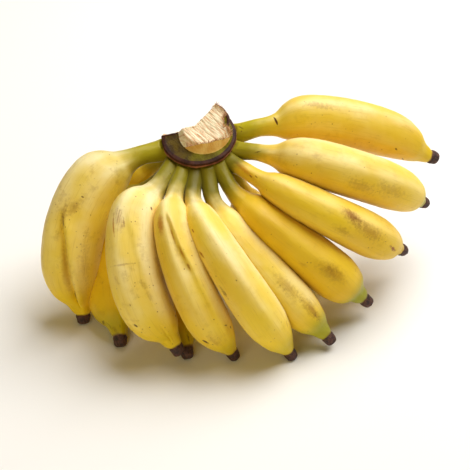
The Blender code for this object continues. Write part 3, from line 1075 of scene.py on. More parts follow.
MARKS = (
    Mark("01", (68, 197), (62, 231), 6.0, BRUISE, 0.65, 0.9, 0.5, 0.4),
    Mark("01", (63, 215), (64, 229), 1.8, DARK_MARK, 0.6, 0.8, 0.5, 0.2),
    Mark("01", (65, 218), (84, 200), 8.0, BRUISE, 0.50, 0.95, 0.5, 0.2),
    Mark("01", (82, 196), (84, 198), 1.3, DARK_MARK, 0.8, 0.5, 0.3, 0.0),
    Mark("01", (86, 236), (87, 292), 11.0, BRUISE, 0.30, 0.9, 0.9, 0.6),
    # Painted shade along the low side of the fold
    Mark("01", (65, 232), (76, 302), 8.0, PAINTED_FOLD_SHADE_GOLD, 0.75, 0.95, 0.3, 0.1),
    Mark("01", (75, 290), (79, 306), 2.4, DARK_MARK, 0.8, 0.8, 0.7, 0.3),
    Mark("02", (104, 320), (104, 325), 1.6, DARK_MARK, 0.7, 0.5, 0.4, 0.0),
    Mark("02", (120, 325), (120, 328), 1.6, DARK_MARK, 0.7, 0.5, 0.4, 0.0),
    Mark("02", (104, 321), (112, 330), 1.8, DARK_MARK, 0.6, 0.6, 0.4, 0.2),
    Mark("02", (111, 327), (119, 333), 6.0, BRUISE, 0.5, 0.9, 0.8, 0.3),
    # Painted shade in a crease
    Mark("03", (114, 211), (115, 239), 1.9, PAINTED_CREASE_SHADE_BROWN, 0.95, 0.6, 0.3, 0.2),
    Mark("03", (118, 206), (121, 232), 9.0, BRUISE, 0.75, 0.9, 0.5, 0.7),
    Mark("03", (123, 216), (124, 227), 1.8, BRUISE, 0.7, 0.7, 0.5, 0.4),
    Mark("03", (151, 207), (152, 210), 1.8, DARK_MARK, 0.9, 0.5, 0.3, 0.0),
    Mark("03", (110, 267), (138, 262), 1.2, BRUISE, 0.45, 0.7, 0.9, 0.4),
    Mark("03", (139, 280), (147, 288), 4.5, BRUISE, 0.50, 0.9, 0.8, 0.4),
    Mark("03", (146, 288), (155, 304), 4.0, BRUISE, 0.40, 0.9, 0.8, 0.5),
    Mark("03", (114, 276), (119, 284), 4.0, BRUISE, 0.35, 0.9, 0.9, 0.4),
    Mark("03", (134, 325), (138, 327), 2.0, DARK_MARK, 0.9, 0.4, 0.3, 0.0),
    Mark("03", (141, 332), (142, 333), 1.4, DARK_MARK, 0.6, 0.5, 0.3, 0.0),
    Mark("03", (175, 315), (176, 317), 1.6, DARK_MARK, 0.8, 0.5, 0.3, 0.0),
    Mark("03", (130, 304), (131, 306), 1.4, BRUISE, 0.7, 0.6, 0.4, 0.0),
    # Painted shade: orange in the deep gap at this fruit's upper left
    Mark("04", (160, 215), (161, 235), 10.0, PAINTED_GAP_SHADE_ORANGE, 0.85, 0.9, 0.3, 0.1),
    # Painted shade along the fold's crease
    Mark("04", (169, 222), (177, 246), 1.6, PAINTED_CREASE_SHADE_BROWN, 0.80, 0.9, 0.3, 0.0),
    Mark("04", (177, 244), (186, 262), 1.6, PAINTED_CREASE_SHADE_BROWN, 0.80, 0.9, 0.3, 0.0),
    Mark("04", (186, 262), (192, 272), 1.6, SCAR, 0.70, 0.8, 0.3, 0.0),
    Mark("04", (203, 341), (208, 343), 3.0, DARK_MARK, 1.0, 0.4, 0.4, 0.0),
    Mark("04", (212, 344), (214, 345), 1.5, DARK_MARK, 0.7, 0.5, 0.4, 0.0),
    Mark("04", (224, 325), (227, 326), 1.5, DARK_MARK, 0.7, 0.5, 0.4, 0.0),
    Mark("04", (230, 326), (231, 328), 1.5, DARK_MARK, 0.8, 0.5, 0.4, 0.0),
    Mark("04", (206, 336), (222, 346), 6.0, BRUISE, 0.35, 0.9, 0.8, 0.4),
    Mark("05", (192, 229), (194, 232), 2.0, SCAR, 0.9, 0.5, 0.4, 0.0),
    Mark("05", (199, 251), (204, 258), 2.6, SCAR, 0.95, 0.6, 0.4, 0.1),
    Mark("05", (219, 285), (229, 300), 3.4, DARK_MARK, 0.65, 0.8, 0.8, 0.3),
    Mark("05", (235, 280), (237, 281), 1.2, DARK_MARK, 0.6, 0.5, 0.3, 0.0),
    Mark("05", (286, 320), (288, 329), 2.4, BRUISE, 0.40, 0.8, 0.8, 0.4),
    Mark("06", (273, 273), (301, 301), 13.0, BRUISE, 0.55, 0.95, 0.5, 0.2),
    Mark("06", (300, 296), (321, 322), 13.0, BRUISE, 0.70, 0.95, 0.5, 0.2),
    Mark("06", (312, 311), (317, 317), 3.0, DARK_MARK, 0.40, 0.9, 0.9, 0.2),
    Mark("07", (317, 262), (346, 281), 18.0, BRUISE, 0.65, 0.95, 0.35, 0.1),
    Mark("07", (328, 266), (337, 273), 7.0, DARK_MARK, 0.30, 0.95, 0.9, 0.4),
    Mark("07", (298, 262), (308, 267), 5.0, BRUISE, 0.35, 0.9, 0.6, 0.4),
    Mark("08", (341, 208), (362, 224), 15.0, BRUISE, 0.70, 0.95, 0.35, 0.1),
    Mark("08", (352, 219), (384, 241), 16.0, BRUISE, 0.60, 0.95, 0.6, 0.15),
    Mark("08", (334, 225), (352, 237), 8.0, BRUISE, 0.45, 0.95, 0.7, 0.4),
    Mark("08", (345, 210), (358, 220), 10.0, SCAR, 0.60, 0.95, 0.5, 0.1),
    Mark("08", (390, 246), (395, 251), 4.5, SCAR, 0.95, 0.7, 0.6, 0.0),
    # Painted shade: orange on the stalk in the deep gap near the crown
    Mark("08", (234, 160), (256, 181), 13.0, PAINTED_GAP_SHADE_ORANGE, 0.70, 0.9, 0.3, 0.2),
    Mark("08", (250, 175), (252, 178), 2.4, BRUISE, 0.85, 0.6, 0.5, 0.0),
    Mark("08", (255, 175), (257, 178), 2.0, BRUISE, 0.85, 0.6, 0.5, 0.0),
    Mark("09", (311, 154), (323, 160), 6.0, BRUISE, 0.35, 0.95, 0.7, 0.4),
    Mark("09", (345, 178), (376, 195), 12.0, BRUISE, 0.35, 0.95, 0.9, 0.2),
    Mark("09", (374, 184), (405, 195), 13.0, BRUISE, 0.35, 0.95, 0.9, 0.2),
    Mark("09", (254, 153), (261, 151), 1.8, DARK_MARK, 0.7, 0.7, 0.8, 0.1),
    Mark("10", (274, 117), (278, 126), 1.4, DARK_MARK, 1.0, 0.4, 0.2, 0.0),
    Mark("10", (302, 104), (336, 108), 7.0, BRUISE, 0.45, 0.95, 0.8, 0.3),
    Mark("10", (395, 148), (397, 150), 1.6, DARK_MARK, 0.8, 0.5, 0.4, 0.0),
    Mark("10", (402, 158), (404, 160), 1.5, DARK_MARK, 0.8, 0.5, 0.4, 0.0),
    Mark("10", (239, 126), (243, 129), 1.8, DARK_MARK, 0.7, 0.6, 0.8, 0.0),
    # Painted shade on finger_11 where it shows below finger_03
    Mark("11", (186, 330), (190, 346), 5.0, DARK_MARK, 0.60, 0.9, 0.8, 0.1),
)

# %% [markdown]
# ## Each fruit's own peel
#
# Fruits of one hand ripen unevenly, so no two have quite the same yellow. Each gets a material of its own,
# with its own values for the shared peel group, and its marks are laid over the colour one after another.
# The marks sit on the stored places of the peel, so they stay where they are on it in every view.

# %% Make each fruit's material
# How golden and how pale each fruit is, how far its stalk stays green in metres, how dark that green is, how
# green its beak is, and how many freckles it has. The pale share also scales the painted highlight on the
# upward-facing peel, and the darker stalk greens are partly the stalks' own colour and partly painted shade.
PEEL_LOOKS = {
    "01": (0.25, 1.00, 0.046, 0.35, 0.0, 1.0), "02": (0.60, 0.05, 0.056, 0.6, 0.6, 0.7),
    "03": (0.20, 1.00, 0.040, 0.75, 0.1, 0.9), "04": (0.30, 0.65, 0.036, 0.7, 0.25, 0.6),
    "05": (0.20, 0.75, 0.038, 1.00, 0.35, 0.4), "06": (0.35, 0.60, 0.040, 0.9, 0.9, 0.5),
    "07": (0.70, 0.10, 0.036, 0.80, 1.0, 0.3), "08": (0.55, 0.30, 0.020, 0.9, 0.15, 0.5),
    "09": (0.40, 0.60, 0.030, 0.50, 0.8, 0.5), "10": (0.55, 0.55, 0.036, 0.0, 0.1, 0.5),
    "11": (0.60, 0.10, 0.036, 0.60, 0.4, 0.6), "12": (0.55, 0.20, 0.036, 0.5, 0.3, 0.4),
    "13": (0.55, 0.20, 0.036, 0.50, 0.3, 0.4),
}


def shader_material(name):
    made = bpy.data.materials.new(name)
    made.use_nodes = True
    return made, made.node_tree.nodes["Principled BSDF"]


class Surface(Nodes):
    """The helper for a material's own tree."""

    def __init__(self, made):
        self.tree = made.node_tree

    def group(self, tree, **values):
        node = self.tree.nodes.new("ShaderNodeGroup")
        node.node_tree = tree
        for label, value in values.items():
            self.fill(node.inputs[label.replace("_", " ")], value)
        return node


def peel_material(number, obj):
    """Gives a fruit its peel with its marks, and says how many marks found their place."""
    made, shader = shader_material("peel_" + number)
    n = Surface(made)
    golden, pale, green_to, stalk_shade, beak, freckles = PEEL_LOOKS[number]
    place = n.add("ShaderNodeAttribute", attribute_name="peel").outputs["Vector"]
    position = n.add("ShaderNodeTexCoord").outputs["Object"]
    shift = n.vector("ADD", position, (0.37 * int(number), 0.0, 0.0))
    peel = n.group(
        peel_tree,
        Place=place,
        Position=shift,
        Golden=golden,
        Pale=pale,
        Upward=n.add("ShaderNodeAttribute", attribute_name="upward").outputs["Fac"],
        Green_to=green_to,
        Stalk_shade=stalk_shade,
        Beak_green=beak,
        Freckles=freckles,
        Girth=paths[number].finger.girth * MM,
        Ridge_turn=math.radians(RIDGES[number][1]),
    )
    colour, dents = peel.outputs["Colour"], peel.outputs["Height"]
    mesh = obj.data
    tree = tree_of(mesh)
    placed = 0
    for mark in (m for m in MARKS if m.fruit == number):
        start, end = picked(tree, mesh, mark.start), picked(tree, mesh, mark.end)
        if start is None or end is None:
            print("mark misses fruit", number, mark.start, mark.end)
            continue
        run = end - start
        run.z = 0
        spot = n.group(
            mark_tree,
            Colour=colour,
            Place=place,
            Centre=(start + end) / 2,
            Turn=math.atan2(run.x, run.y),
            Length=run.length + 0.5 * mark.width * MM,
            Width=mark.width * MM,
            Softness=mark.softness,
            Ragged=mark.ragged,
            Grain=mark.grain,
            Strength=mark.strength,
            Mark=mark.colour,
        )
        colour = spot.outputs["Colour"]
        placed += 1
    bump = n.add("ShaderNodeBump", {"Height": dents, "Strength": 0.25, "Distance": 0.0004})
    n.fill(shader.inputs["Base Color"], colour)
    n.fill(shader.inputs["Roughness"], peel.outputs["Roughness"])
    n.fill(shader.inputs["Normal"], bump.outputs[0])
    shader.inputs["Specular IOR Level"].default_value = 0.25
    shader.inputs["Sheen Weight"].default_value = 0.10
    shader.inputs["Sheen Roughness"].default_value = 0.45
    shader.inputs["Subsurface Weight"].default_value = 0.06
    shader.inputs["Subsurface Radius"].default_value = (0.003, 0.0022, 0.0006)
    shader.inputs["Subsurface Scale"].default_value = 1.0
    mesh.materials.clear()
    mesh.materials.append(made)
    return placed


marks_placed = 0
for number, mesh in fruit_meshes.items():
    marks_placed += peel_material(number, piece("peel_" + number, mesh, "peel", "finger_" + number))
print("marks placed:", marks_placed, "of", len(MARKS))

# %% [markdown]
# ## Dried tips
#
# What is left of each flower is a dry, dark knob, a little wider than the end it sits on. It grows on the
# same tree as the fruit, from the last few millimetres of the same line, with higher and closer lumps.

# %% Grow the tips
TIP_OVERLAP = 0.7
TIP_LUMPS = 0.5
TIP_RINGS = 60
TIP_SIDES = 56


def tip_material():
    made, shader = shader_material("dried_tip")
    n = Surface(made)
    position = n.add("ShaderNodeTexCoord").outputs["Object"]
    place = n.add("ShaderNodeAttribute", attribute_name="peel").outputs["Vector"]
    around, along, _ = n.split(place)
    lengthwise = n.combine(around, n.math("MULTIPLY", along, 0.3), 0.0)
    ribs = n.noise(lengthwise, 1100.0, 3.0)
    spots = n.noise(position, 500.0, 4.0, 0.6)
    colour = n.mix(n.ramp(spots, 0.35, 0.65), screen(42, 24, 22), screen(94, 60, 52))
    colour = n.mix(n.ramp(ribs, 0.5, 0.75, 0.0, 0.6), colour, screen(134, 98, 80))
    dents = n.math("ADD", ribs, spots)
    bump = n.add("ShaderNodeBump", {"Height": dents, "Strength": 0.8, "Distance": 0.0006})
    n.fill(shader.inputs["Base Color"], colour)
    n.fill(shader.inputs["Roughness"], n.ramp(spots, 0.3, 0.7, 0.62, 0.85))
    n.fill(shader.inputs["Normal"], bump.outputs[0])
    return made


def tip_mesh(number):
    path = paths[number]
    start = path.fruit_end - TIP_OVERLAP
    places = np.linspace(start, path.length, TIP_RINGS)
    reach = path.length - start
    radii = [FRUIT_END_RADIUS * smooth_through(TIP_PROFILE, (s - start) / reach) for s in places]
    line = line_object("tip_line_" + number, [path.point(s) for s in places], radii)
    mesh = grown(
        "tip_" + number,
        line,
        skin_tree,
        Side=path.side,
        Girth=FRUIT_END_RADIUS * MM,
        Flatness=0.94,
        Root_depth=-start * MM,
        Fruit_end=path.length * MM,
        Ridge_height=0.05,
        Lump_height=TIP_LUMPS * MM,
        Lump_scale=330.0,
        Seed=0.1 * int(number),
        Rings=TIP_RINGS,
        Sides=TIP_SIDES,
    )
    bpy.data.objects.remove(line)
    points = points_of(mesh)
    points[:, 2] = np.maximum(points[:, 2], 0)
    move_points(mesh, points)
    return mesh


dry = tip_material()
for number in FINGERS:
    mesh = tip_mesh(number)
    mesh.materials.clear()
    mesh.materials.append(dry)
    piece("dried_tip_" + number, mesh, "dried_tip", "tip_" + number)
print("tips:", len(FINGERS))

# %% [markdown]
# ## The crown
#
# The crown is the cushion of stalk that every fruit grows from. A dried ridge runs round its rim, and the
# knife left a smooth tan bevel, shaped like a lens, at its front and a fibrous face behind it. It is built
# as the CAD solid is, ring on ring with a wedge cut away, then remeshed finely enough to carve fibres into
# it.

# %% Loft and cut the crown
CROWN_SIDES = 120
CROWN_VOXEL = 0.38
CUSHION_PROFILE = (
    (-22.0, 0.40), (-17.0, 0.66), (-8.0, 0.84), (-2.2, 0.93), (-0.8, 1.0), (0.8, 1.0), (2.2, 0.93),
)

# Each ring of the stump: its middle, its radius, and its height at the front left and at the back right
BEVEL_FOOT = ((4.5, 0.0), 18.0, (3.0, 5.0))
BEVEL_TOP = ((5.5, 2.0), 15.5, (10.0, 14.0))
UPHILL = math.radians(60)

# The missing wedge: its corners, the way it runs back, and how far back it lies at two heights
WEDGE_CORNERS = ((-2, 1.5), (26, 35), (-40, 60), (-50, -5))
WEDGE_RUNS = (-0.6, 0.8)
WEDGE_SHIFTS = ((-30, 20), (24, -7))

# The smooth bevel's upper edge: its height in the middle, the bearing of that, and how it falls to the sides
KNIFE_TOP = 10.4
KNIFE_MIDDLE = -78.0
KNIFE_CURVE = 0.0019


def crown_ring(centre, radius, heights):
    """One ring of the crown, with its heights at the front left and at the back right."""
    ring = []
    for k in range(CROWN_SIDES):
        a = 2 * math.pi * k / CROWN_SIDES
        back = (1 + math.cos(a - UPHILL)) / 2
        x = centre[0] + radius * math.cos(a)
        y = centre[1] + radius * math.sin(a)
        ring.append(Vector((x, y, heights[0] + (heights[1] - heights[0]) * back)))
    return ring


def lofted(name, rings):
    """A closed solid through rings that have the same number of points, placed by the crown's frame."""
    frame_mm = crown_matrix()
    bm = bmesh.new()
    made = [[bm.verts.new((frame_mm @ p) * MM) for p in ring] for ring in rings]
    for low, high in zip(made, made[1:]):
        for k in range(len(low)):
            after = (k + 1) % len(low)
            bm.faces.new((low[k], low[after], high[after], high[k]))
    bm.faces.new(made[0][::-1])
    bm.faces.new(made[-1])
    bmesh.ops.recalc_face_normals(bm, faces=bm.faces)
    mesh = bpy.data.meshes.new(name)
    bm.to_mesh(mesh)
    bm.free()
    obj = bpy.data.objects.new(name, mesh)
    bpy.context.scene.collection.objects.link(obj)
    return obj


def crown_mesh():
    rings = [crown_ring((0, 0), CROWN_RADIUS * share, (height, height)) for height, share in CUSHION_PROFILE]
    solid = lofted("crown_form", rings + [crown_ring(*BEVEL_FOOT), crown_ring(*BEVEL_TOP)])
    wedge_rings = []
    for height, back in WEDGE_SHIFTS:
        shift_x, shift_y = WEDGE_RUNS[0] * back, WEDGE_RUNS[1] * back
        wedge_rings.append([Vector((x + shift_x, y + shift_y, height)) for x, y in WEDGE_CORNERS])
    wedge = lofted("crown_wedge", wedge_rings)
    cut = solid.modifiers.new("cut", "BOOLEAN")
    cut.operation = "DIFFERENCE"
    cut.solver = "EXACT"
    cut.object = wedge
    remesh = solid.modifiers.new("remesh", "REMESH")
    remesh.mode = "VOXEL"
    remesh.voxel_size = CROWN_VOXEL * MM
    soften = solid.modifiers.new("soften", "SMOOTH")
    soften.factor = 0.5
    soften.iterations = 3
    bpy.context.view_layer.update()
    mesh = bpy.data.meshes.new_from_object(solid.evaluated_get(bpy.context.evaluated_depsgraph_get()))
    mesh.name = "crown_surface"
    for obj in (solid, wedge):
        bpy.data.objects.remove(obj)
    return mesh


crown_surface = crown_mesh()
print("crown faces:", len(crown_surface.polygons))

# %% [markdown]
# ## Carve the crown
#
# Each point of the crown is looked at in the crown's own frame. Its place there says how much of it is
# dried ridge, smooth bevel or fibrous cut. The ridge is two beads round the rim, and it also borders the
# torn wedge and the back right of the cut. Those shares are kept as attributes for the material, and the
# fibrous share is carved with grooves that run the way the stalk's fibres do.

# %% Carve the crown
FIBRE_RUN = Vector((0.65, -0.76, 0.0))
FIBRE_ACROSS = Vector((0.76, 0.65, 0.0))
UPPER_BEAD = (1.1, 0.8)
LOWER_BEAD = (-1.2, 1.0)


def hump(value, middle, width):
    """1 at the middle, fading to 0 on both sides over about the width."""
    return np.exp(-(((value - middle) / width) ** 2))


def noise_at(points, scale, seed=0.0):
    """Soft noise between -1 and 1 at each of these points."""
    shift = Vector((seed, 0, 0))
    return np.array([noise.noise(Vector(p * scale) + shift) for p in points])


def carve_crown(mesh):
    """Stores which part of the crown each point belongs to, and carves the grooves, beads and lumps."""
    points = points_of(mesh)
    local, _ = crown_places(points)
    x, y, z = local.T
    radius = np.hypot(x, y)
    (foot_x, foot_y), foot_radius, foot_heights = BEVEL_FOOT
    (top_x, top_y), top_radius, top_heights = BEVEL_TOP

    def ring_height(cx, cy, size, heights):
        uphill = ((x - cx) * math.cos(UPHILL) + (y - cy) * math.sin(UPHILL)) / size
        return heights[0] + (heights[1] - heights[0]) * (1 + np.clip(uphill, -1.2, 1.2)) / 2

    def inside_wedge(direction):
        """How far a point lies past one side of the missing wedge, in millimetres."""
        (low, back_low), (high, back_high) = WEDGE_SHIFTS
        back = back_low + (back_high - back_low) * (z - low) / (high - low)
        corner_x = WEDGE_CORNERS[0][0] + WEDGE_RUNS[0] * back
        corner_y = WEDGE_CORNERS[0][1] + WEDGE_RUNS[1] * back
        length = math.hypot(*direction)
        return ((x - corner_x) * -direction[1] + (y - corner_y) * direction[0]) / length

    (x0, y0), (x1, y1), _, (x3, y3) = WEDGE_CORNERS
    buried = -np.minimum(inside_wedge((x1 - x0, y1 - y0)), inside_wedge((x0 - x3, y0 - y3)))
    foot_height = ring_height(foot_x, foot_y, foot_radius, foot_heights)
    top_height = ring_height(top_x, top_y, top_radius, top_heights)
    top = step_between(z - top_height, -1.0, -0.2)
    torn = 1 - step_between(buried, 0.3, 0.9)
    cut = np.maximum(top, torn)
    from_stump = np.hypot(x - foot_x, y - foot_y)
    raised_part = step_between(z - foot_height, -0.2, 0.5) * step_between(-from_stump, -19, -17.6)
    bearing = np.degrees(np.arctan2(y - top_y, x - top_x))
    knife_height = KNIFE_TOP - KNIFE_CURVE * (bearing - KNIFE_MIDDLE) ** 2
    sliced = step_between(knife_height - z, -0.5, 0.5)
    bevel = raised_part * sliced * (1 - top) * (1 - torn)
    cut = np.maximum(cut, raised_part * (1 - sliced))
    from_edge = top_radius - np.hypot(x - top_x, y - top_y)
    at_back = step_between(bearing, -24, -12) * step_between(-bearing, -80, -66)
    back_skin = at_back * step_between(-from_edge, -0.9, -0.2) * (1 - torn)
    near_peak = step_between(bearing, -24, -14) * step_between(-bearing, -24, -8)
    strip = near_peak * step_between(-from_edge, -3.4, -2.4)
    cut = cut * (1 - np.maximum(back_skin, strip))
    back_rim = at_back * hump(from_edge, 0.2, 1.0) * step_between(z - top_height, -2.0, -1.0)
    beads = np.maximum(hump(z, *UPPER_BEAD), hump(z, *LOWER_BEAD))
    at_rim = step_between(radius, CROWN_RADIUS - 2.9, CROWN_RADIUS - 1.6)
    ridge = beads * at_rim
    collar = step_between(-abs(z + 0.2), -3.0, -2.4) * at_rim
    rim = hump(buried, 1.2, 1.0) * (1 - cut) * step_between(z, -3, -1)
    ridge = np.maximum(np.maximum(ridge, rim), back_rim)
    collar = np.maximum(np.maximum(collar, rim), back_rim)

    across = local @ np.array(FIBRE_ACROSS)
    along = local @ np.array(FIBRE_RUN)
    groove_place = np.stack([across * 0.9, along * 0.10, z * 0.25], 1)
    grooves = noise_at(groove_place, 1.0) + 0.5 * noise_at(groove_place, 2.3, 7.0)
    scoop = -1.6 * np.exp(-(((x - 2) / 9) ** 2 + ((y + 2) / 8) ** 2))
    lumps = noise_at(local, 0.16, 3.0)
    raised = cut * (0.55 * grooves + scoop * top) + ridge * (0.8 + 0.45 * lumps) + (1 - cut) * 0.25 * lumps
    move_points(mesh, points + normals_of(mesh) * raised[:, None])
    keep_share(mesh, "cut", cut)
    keep_share(mesh, "bevel", bevel)
    keep_share(mesh, "ridge", collar)
    keep_share(mesh, "upper", step_between(z, -0.3, 0.3))
    # How far to the left a point lies, which the material uses for painted shade on that side of the skin
    keep_share(mesh, "left", step_between(-x, -4.0, 12.0))
    mesh.shade_smooth()
    return {"cut": cut, "bevel": bevel, "ridge": collar}


crown_shares = carve_crown(crown_surface)
print("average shares on the crown:", {name: round(float(v.mean()), 2) for name, v in crown_shares.items()})

# %% [markdown]
# ## The crown's material
#
# One material covers the whole crown and reads the stored shares: olive skin, darker and browner at the left
# as painted shade, the tan bevel, the dark and light beads of the ridge, and the pale fibrous cut over them.
# Fine noise roughens the borders between them, because dried plant never changes colour along a clean line.

# %% Make the crown's material


def crown_material():
    made, shader = shader_material("crown")
    n = Surface(made)

    def share(name):
        return n.add("ShaderNodeAttribute", attribute_name=name).outputs["Fac"]

    position = n.add("ShaderNodeTexCoord").outputs["Object"]

    def measured(way):
        node = n.add("ShaderNodeVectorMath", {0: position, 1: way}, operation="DOT_PRODUCT")
        return node.outputs["Value"]

    clouds = n.noise(position, 160.0, 4.0, 0.6)
    fine = n.noise(position, 900.0, 4.0, 0.6)
    cloudy = n.ramp(clouds, 0.35, 0.65)
    skin = n.mix(cloudy, screen(96, 84, 0), screen(128, 122, 4))
    # The left of the skin is painted darker and browner, as painted shade
    painted_shade_left_skin = n.mix(cloudy, screen(60, 40, 0), screen(94, 74, 4))
    skin = n.mix(share("left"), skin, painted_shade_left_skin)
    bevel = n.mix(n.ramp(clouds, 0.3, 0.7), screen(226, 172, 84), screen(246, 208, 124))
    across = measured(FIBRE_ACROSS)
    along = measured(FIBRE_RUN)
    fibre_place = n.combine(across, n.math("MULTIPLY", along, 0.10), 0.0)
    fibres = n.noise(fibre_place, 900.0, 4.0, 0.65)
    fibrous = n.mix(n.ramp(fibres, 0.36, 0.60), screen(226, 180, 136), screen(254, 240, 206))
    fibrous = n.mix(n.ramp(fibres, 0.24, 0.36, 0.7, 0.0), fibrous, screen(160, 100, 66))
    upper_bead = n.mix(cloudy, screen(44, 18, 10), screen(78, 40, 26))
    lower_bead = n.mix(cloudy, screen(124, 70, 50), screen(170, 110, 86))
    ridge = n.mix(share("upper"), lower_bead, upper_bead)
    ragged = n.math("MULTIPLY", n.math("SUBTRACT", fine, 0.5), 0.7)
    colour = n.mix(n.ramp(n.math("ADD", share("bevel"), ragged), 0.4, 0.6), skin, bevel)
    colour = n.mix(n.ramp(n.math("ADD", share("ridge"), ragged), 0.3, 0.6), colour, ridge)
    colour = n.mix(n.ramp(n.math("ADD", share("cut"), ragged), 0.4, 0.6), colour, fibrous)
    dents = n.math("ADD", fibres, fine)
    bump = n.add("ShaderNodeBump", {"Height": dents, "Strength": 0.6, "Distance": 0.0005})
    n.fill(shader.inputs["Base Color"], colour)
    n.fill(shader.inputs["Roughness"], n.ramp(share("cut"), 0.0, 1.0, 0.55, 0.85))
    shader.inputs["Specular IOR Level"].default_value = 0.2
    n.fill(shader.inputs["Normal"], bump.outputs[0])
    return made


crown_surface.materials.clear()
crown_surface.materials.append(crown_material())
piece("crown_surface", crown_surface, "crown_skin", "crown")

# %% [markdown]
# ## Torn fibres
#
# Where the knife didn't go, the stalk tore, and its fibres stand up along the edge of the cut. Each is a
# thin bent cone. A second Geometry Nodes tree stands one on each of some points that are drawn from the
# edge, leans it the way the point says, and gives it its own twist and length from a fixed seed.

# %% Grow the torn fibres
FIBRE_COUNT = 260
FIBRE_SEED = 11


def fibre_tree():
    n = Nodes(
        "torn_fibres",
        "GeometryNodeTree",
        [
            ("Geometry", "NodeSocketGeometry", None),
            ("Length", "NodeSocketFloat", 0.0028),
            ("Thickness", "NodeSocketFloat", 0.00022),
            ("Bend", "NodeSocketFloat", 0.3),
            ("Seed", "NodeSocketInt", FIBRE_SEED),
            ("Material", "NodeSocketMaterial", None),
        ],
        [("Geometry", "NodeSocketGeometry")],
    )
    given = n.inputs
    cone_sizes = {
        "Vertices": 5,
        "Side Segments": 4,
        "Fill Segments": 1,
        "Radius Top": 0.00005,
        "Radius Bottom": given["Thickness"],
        "Depth": given["Length"],
    }
    cone = n.add("GeometryNodeMeshCone", cone_sizes).outputs[0]
    up = n.split(n.add("GeometryNodeInputPosition").outputs[0])["Z"]
    bow = n.math("DIVIDE", n.math("MULTIPLY", n.math("MULTIPLY", up, up), given["Bend"]), given["Length"])
    bent = n.add("GeometryNodeSetPosition", {"Geometry": cone, "Offset": n.combine(bow, 0.0, 0.0)}).outputs[0]
    lean = n.add("GeometryNodeInputNamedAttribute", {"Name": "lean"}, data_type="FLOAT_VECTOR").outputs[0]
    aligned = n.add("FunctionNodeAlignRotationToVector", {"Vector": lean}, axis="Z").outputs[0]

    def random(low, high, shift):
        seed = n.math("ADD", given["Seed"], shift)
        return n.add("FunctionNodeRandomValue", {2: low, 3: high, 8: seed}, data_type="FLOAT").outputs[1]

    twist = n.combine(0.0, 0.0, random(0.0, 2 * math.pi, 1))
    turned = n.add("FunctionNodeRotateRotation", {0: aligned, 1: twist}, rotation_space="LOCAL").outputs[0]
    tall = n.combine(1.0, 1.0, random(0.35, 1.3, 2))
    stood = n.add(
        "GeometryNodeInstanceOnPoints",
        {"Points": given["Geometry"], "Instance": bent, "Rotation": turned, "Scale": tall},
    ).outputs[0]
    real = n.add("GeometryNodeRealizeInstances", {0: stood}).outputs[0]
    coated = n.add("GeometryNodeSetMaterial", {"Geometry": real, "Material": given["Material"]})
    n.fill(n.out.inputs[0], coated.outputs[0])
    return n.tree


def kept_share(mesh, name):
    """The values that keep_share stored."""
    values = np.empty(len(mesh.vertices))
    mesh.attributes[name].data.foreach_get("value", values)
    return values


def fibre_points(mesh):
    """An object with a point for each fibre, on the edge of the cut, and the way it leans."""
    share = kept_share(mesh, "cut")
    bevel = kept_share(mesh, "bevel")
    normals = normals_of(mesh)
    points = points_of(mesh)
    local, _ = crown_places(points)
    edge = np.nonzero((share > 0.35) & (share < 0.97) & (local[:, 2] > 4.5) & (bevel < 0.3))[0]
    random = np.random.default_rng(FIBRE_SEED)
    chosen = random.choice(edge, size=min(FIBRE_COUNT, len(edge)), replace=False)
    up = np.array(crown_matrix().to_3x3() @ Vector((0.25, 0.1, 1.0)))
    lean = 0.5 * normals[chosen] + up + random.normal(0, 0.28, (len(chosen), 3))
    spots = bpy.data.meshes.new("fibre_points")
    spots.from_pydata([tuple(p) for p in points[chosen] * MM], [], [])
    spots.attributes.new("lean", "FLOAT_VECTOR", "POINT").data.foreach_set("vector", lean.ravel())
    obj = bpy.data.objects.new("fibre_points", spots)
    bpy.context.scene.collection.objects.link(obj)
    return obj


def fibre_material():
    made, shader = shader_material("fibre")
    n = Surface(made)
    position = n.add("ShaderNodeTexCoord").outputs["Object"]
    tone = n.noise(position, 700.0, 2.0)
    colour = n.mix(n.ramp(tone, 0.35, 0.65), screen(240, 206, 168), screen(200, 148, 116))
    n.fill(shader.inputs["Base Color"], colour)
    n.fill(shader.inputs["Roughness"], n.ramp(tone, 0.3, 0.7, 0.7, 0.9))
    shader.inputs["Specular IOR Level"].default_value = 0.2
    return made


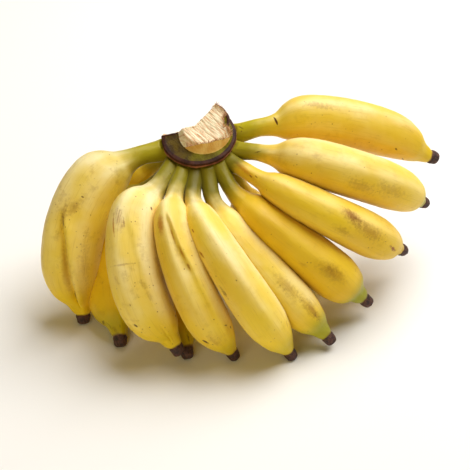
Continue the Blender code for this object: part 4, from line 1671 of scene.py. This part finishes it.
fibre_spots = fibre_points(crown_surface)
fibres = grown("crown_fibres", fibre_spots, fibre_tree(), Material=fibre_material())
bpy.data.objects.remove(fibre_spots)
piece("crown_fibres", fibres, "crown_cut")
print("fibre faces:", len(fibres.polygons))

# %% [markdown]
# ## The table and the light
#
# The hand stands on a plain pale table, which is stage for the picture and no part of the hand. It is nearly
# matt, so that it shows soft shadows and no reflections.

# %% Make the table


def table():
    mesh = bpy.data.meshes.new("table")
    bm = bmesh.new()
    bmesh.ops.create_grid(bm, x_segments=1, y_segments=1, size=3.0)
    bm.to_mesh(mesh)
    bm.free()
    obj = bpy.data.objects.new("table", mesh)
    bpy.context.scene.collection.objects.link(obj)
    made, shader = shader_material("table")
    shader.inputs["Base Color"].default_value = screen(246, 244, 242)
    shader.inputs["Roughness"].default_value = 0.9
    shader.inputs["Specular IOR Level"].default_value = 0.1
    mesh.materials.append(made)


table()

# %% [markdown]
# ## The light
#
# The light is soft. A large panel high at the back right puts the hand's shadow at its front left. A weaker,
# warm one low at the front left fills that side, and a faint warm surround brightens the rest.

# %% Make the lights


def panel(name, bearing, elevation, distance, size, watts, colour):
    """A square light panel that faces the middle of the hand, with its bearing counted from the front."""
    data = bpy.data.lights.new(name, "AREA")
    data.shape = "SQUARE"
    data.size = size
    data.energy = watts
    data.color = colour
    obj = bpy.data.objects.new(name, data)
    bpy.context.scene.collection.objects.link(obj)
    a, e = math.radians(bearing), math.radians(elevation)
    direction = Vector((math.sin(a) * math.cos(e), -math.cos(a) * math.cos(e), math.sin(e)))
    obj.location = direction * distance + Vector((0, 0, 0.05))
    obj.rotation_euler = direction.to_track_quat("Z", "Y").to_euler()


panel("key_light", bearing=132, elevation=62, distance=1.3, size=1.25, watts=27.0, colour=(1.0, 1.0, 1.0))
panel("front_light", bearing=-26, elevation=20, distance=1.4, size=0.9, watts=4.8, colour=(1.0, 0.90, 0.55))

world = bpy.data.worlds.new("surround")
bpy.context.scene.world = world
world.use_nodes = True
background = world.node_tree.nodes["Background"]
background.inputs["Color"].default_value = (1.0, 0.78, 0.42, 1)
background.inputs["Strength"].default_value = 0.11
bpy.context.scene.view_settings.view_transform = "Standard"
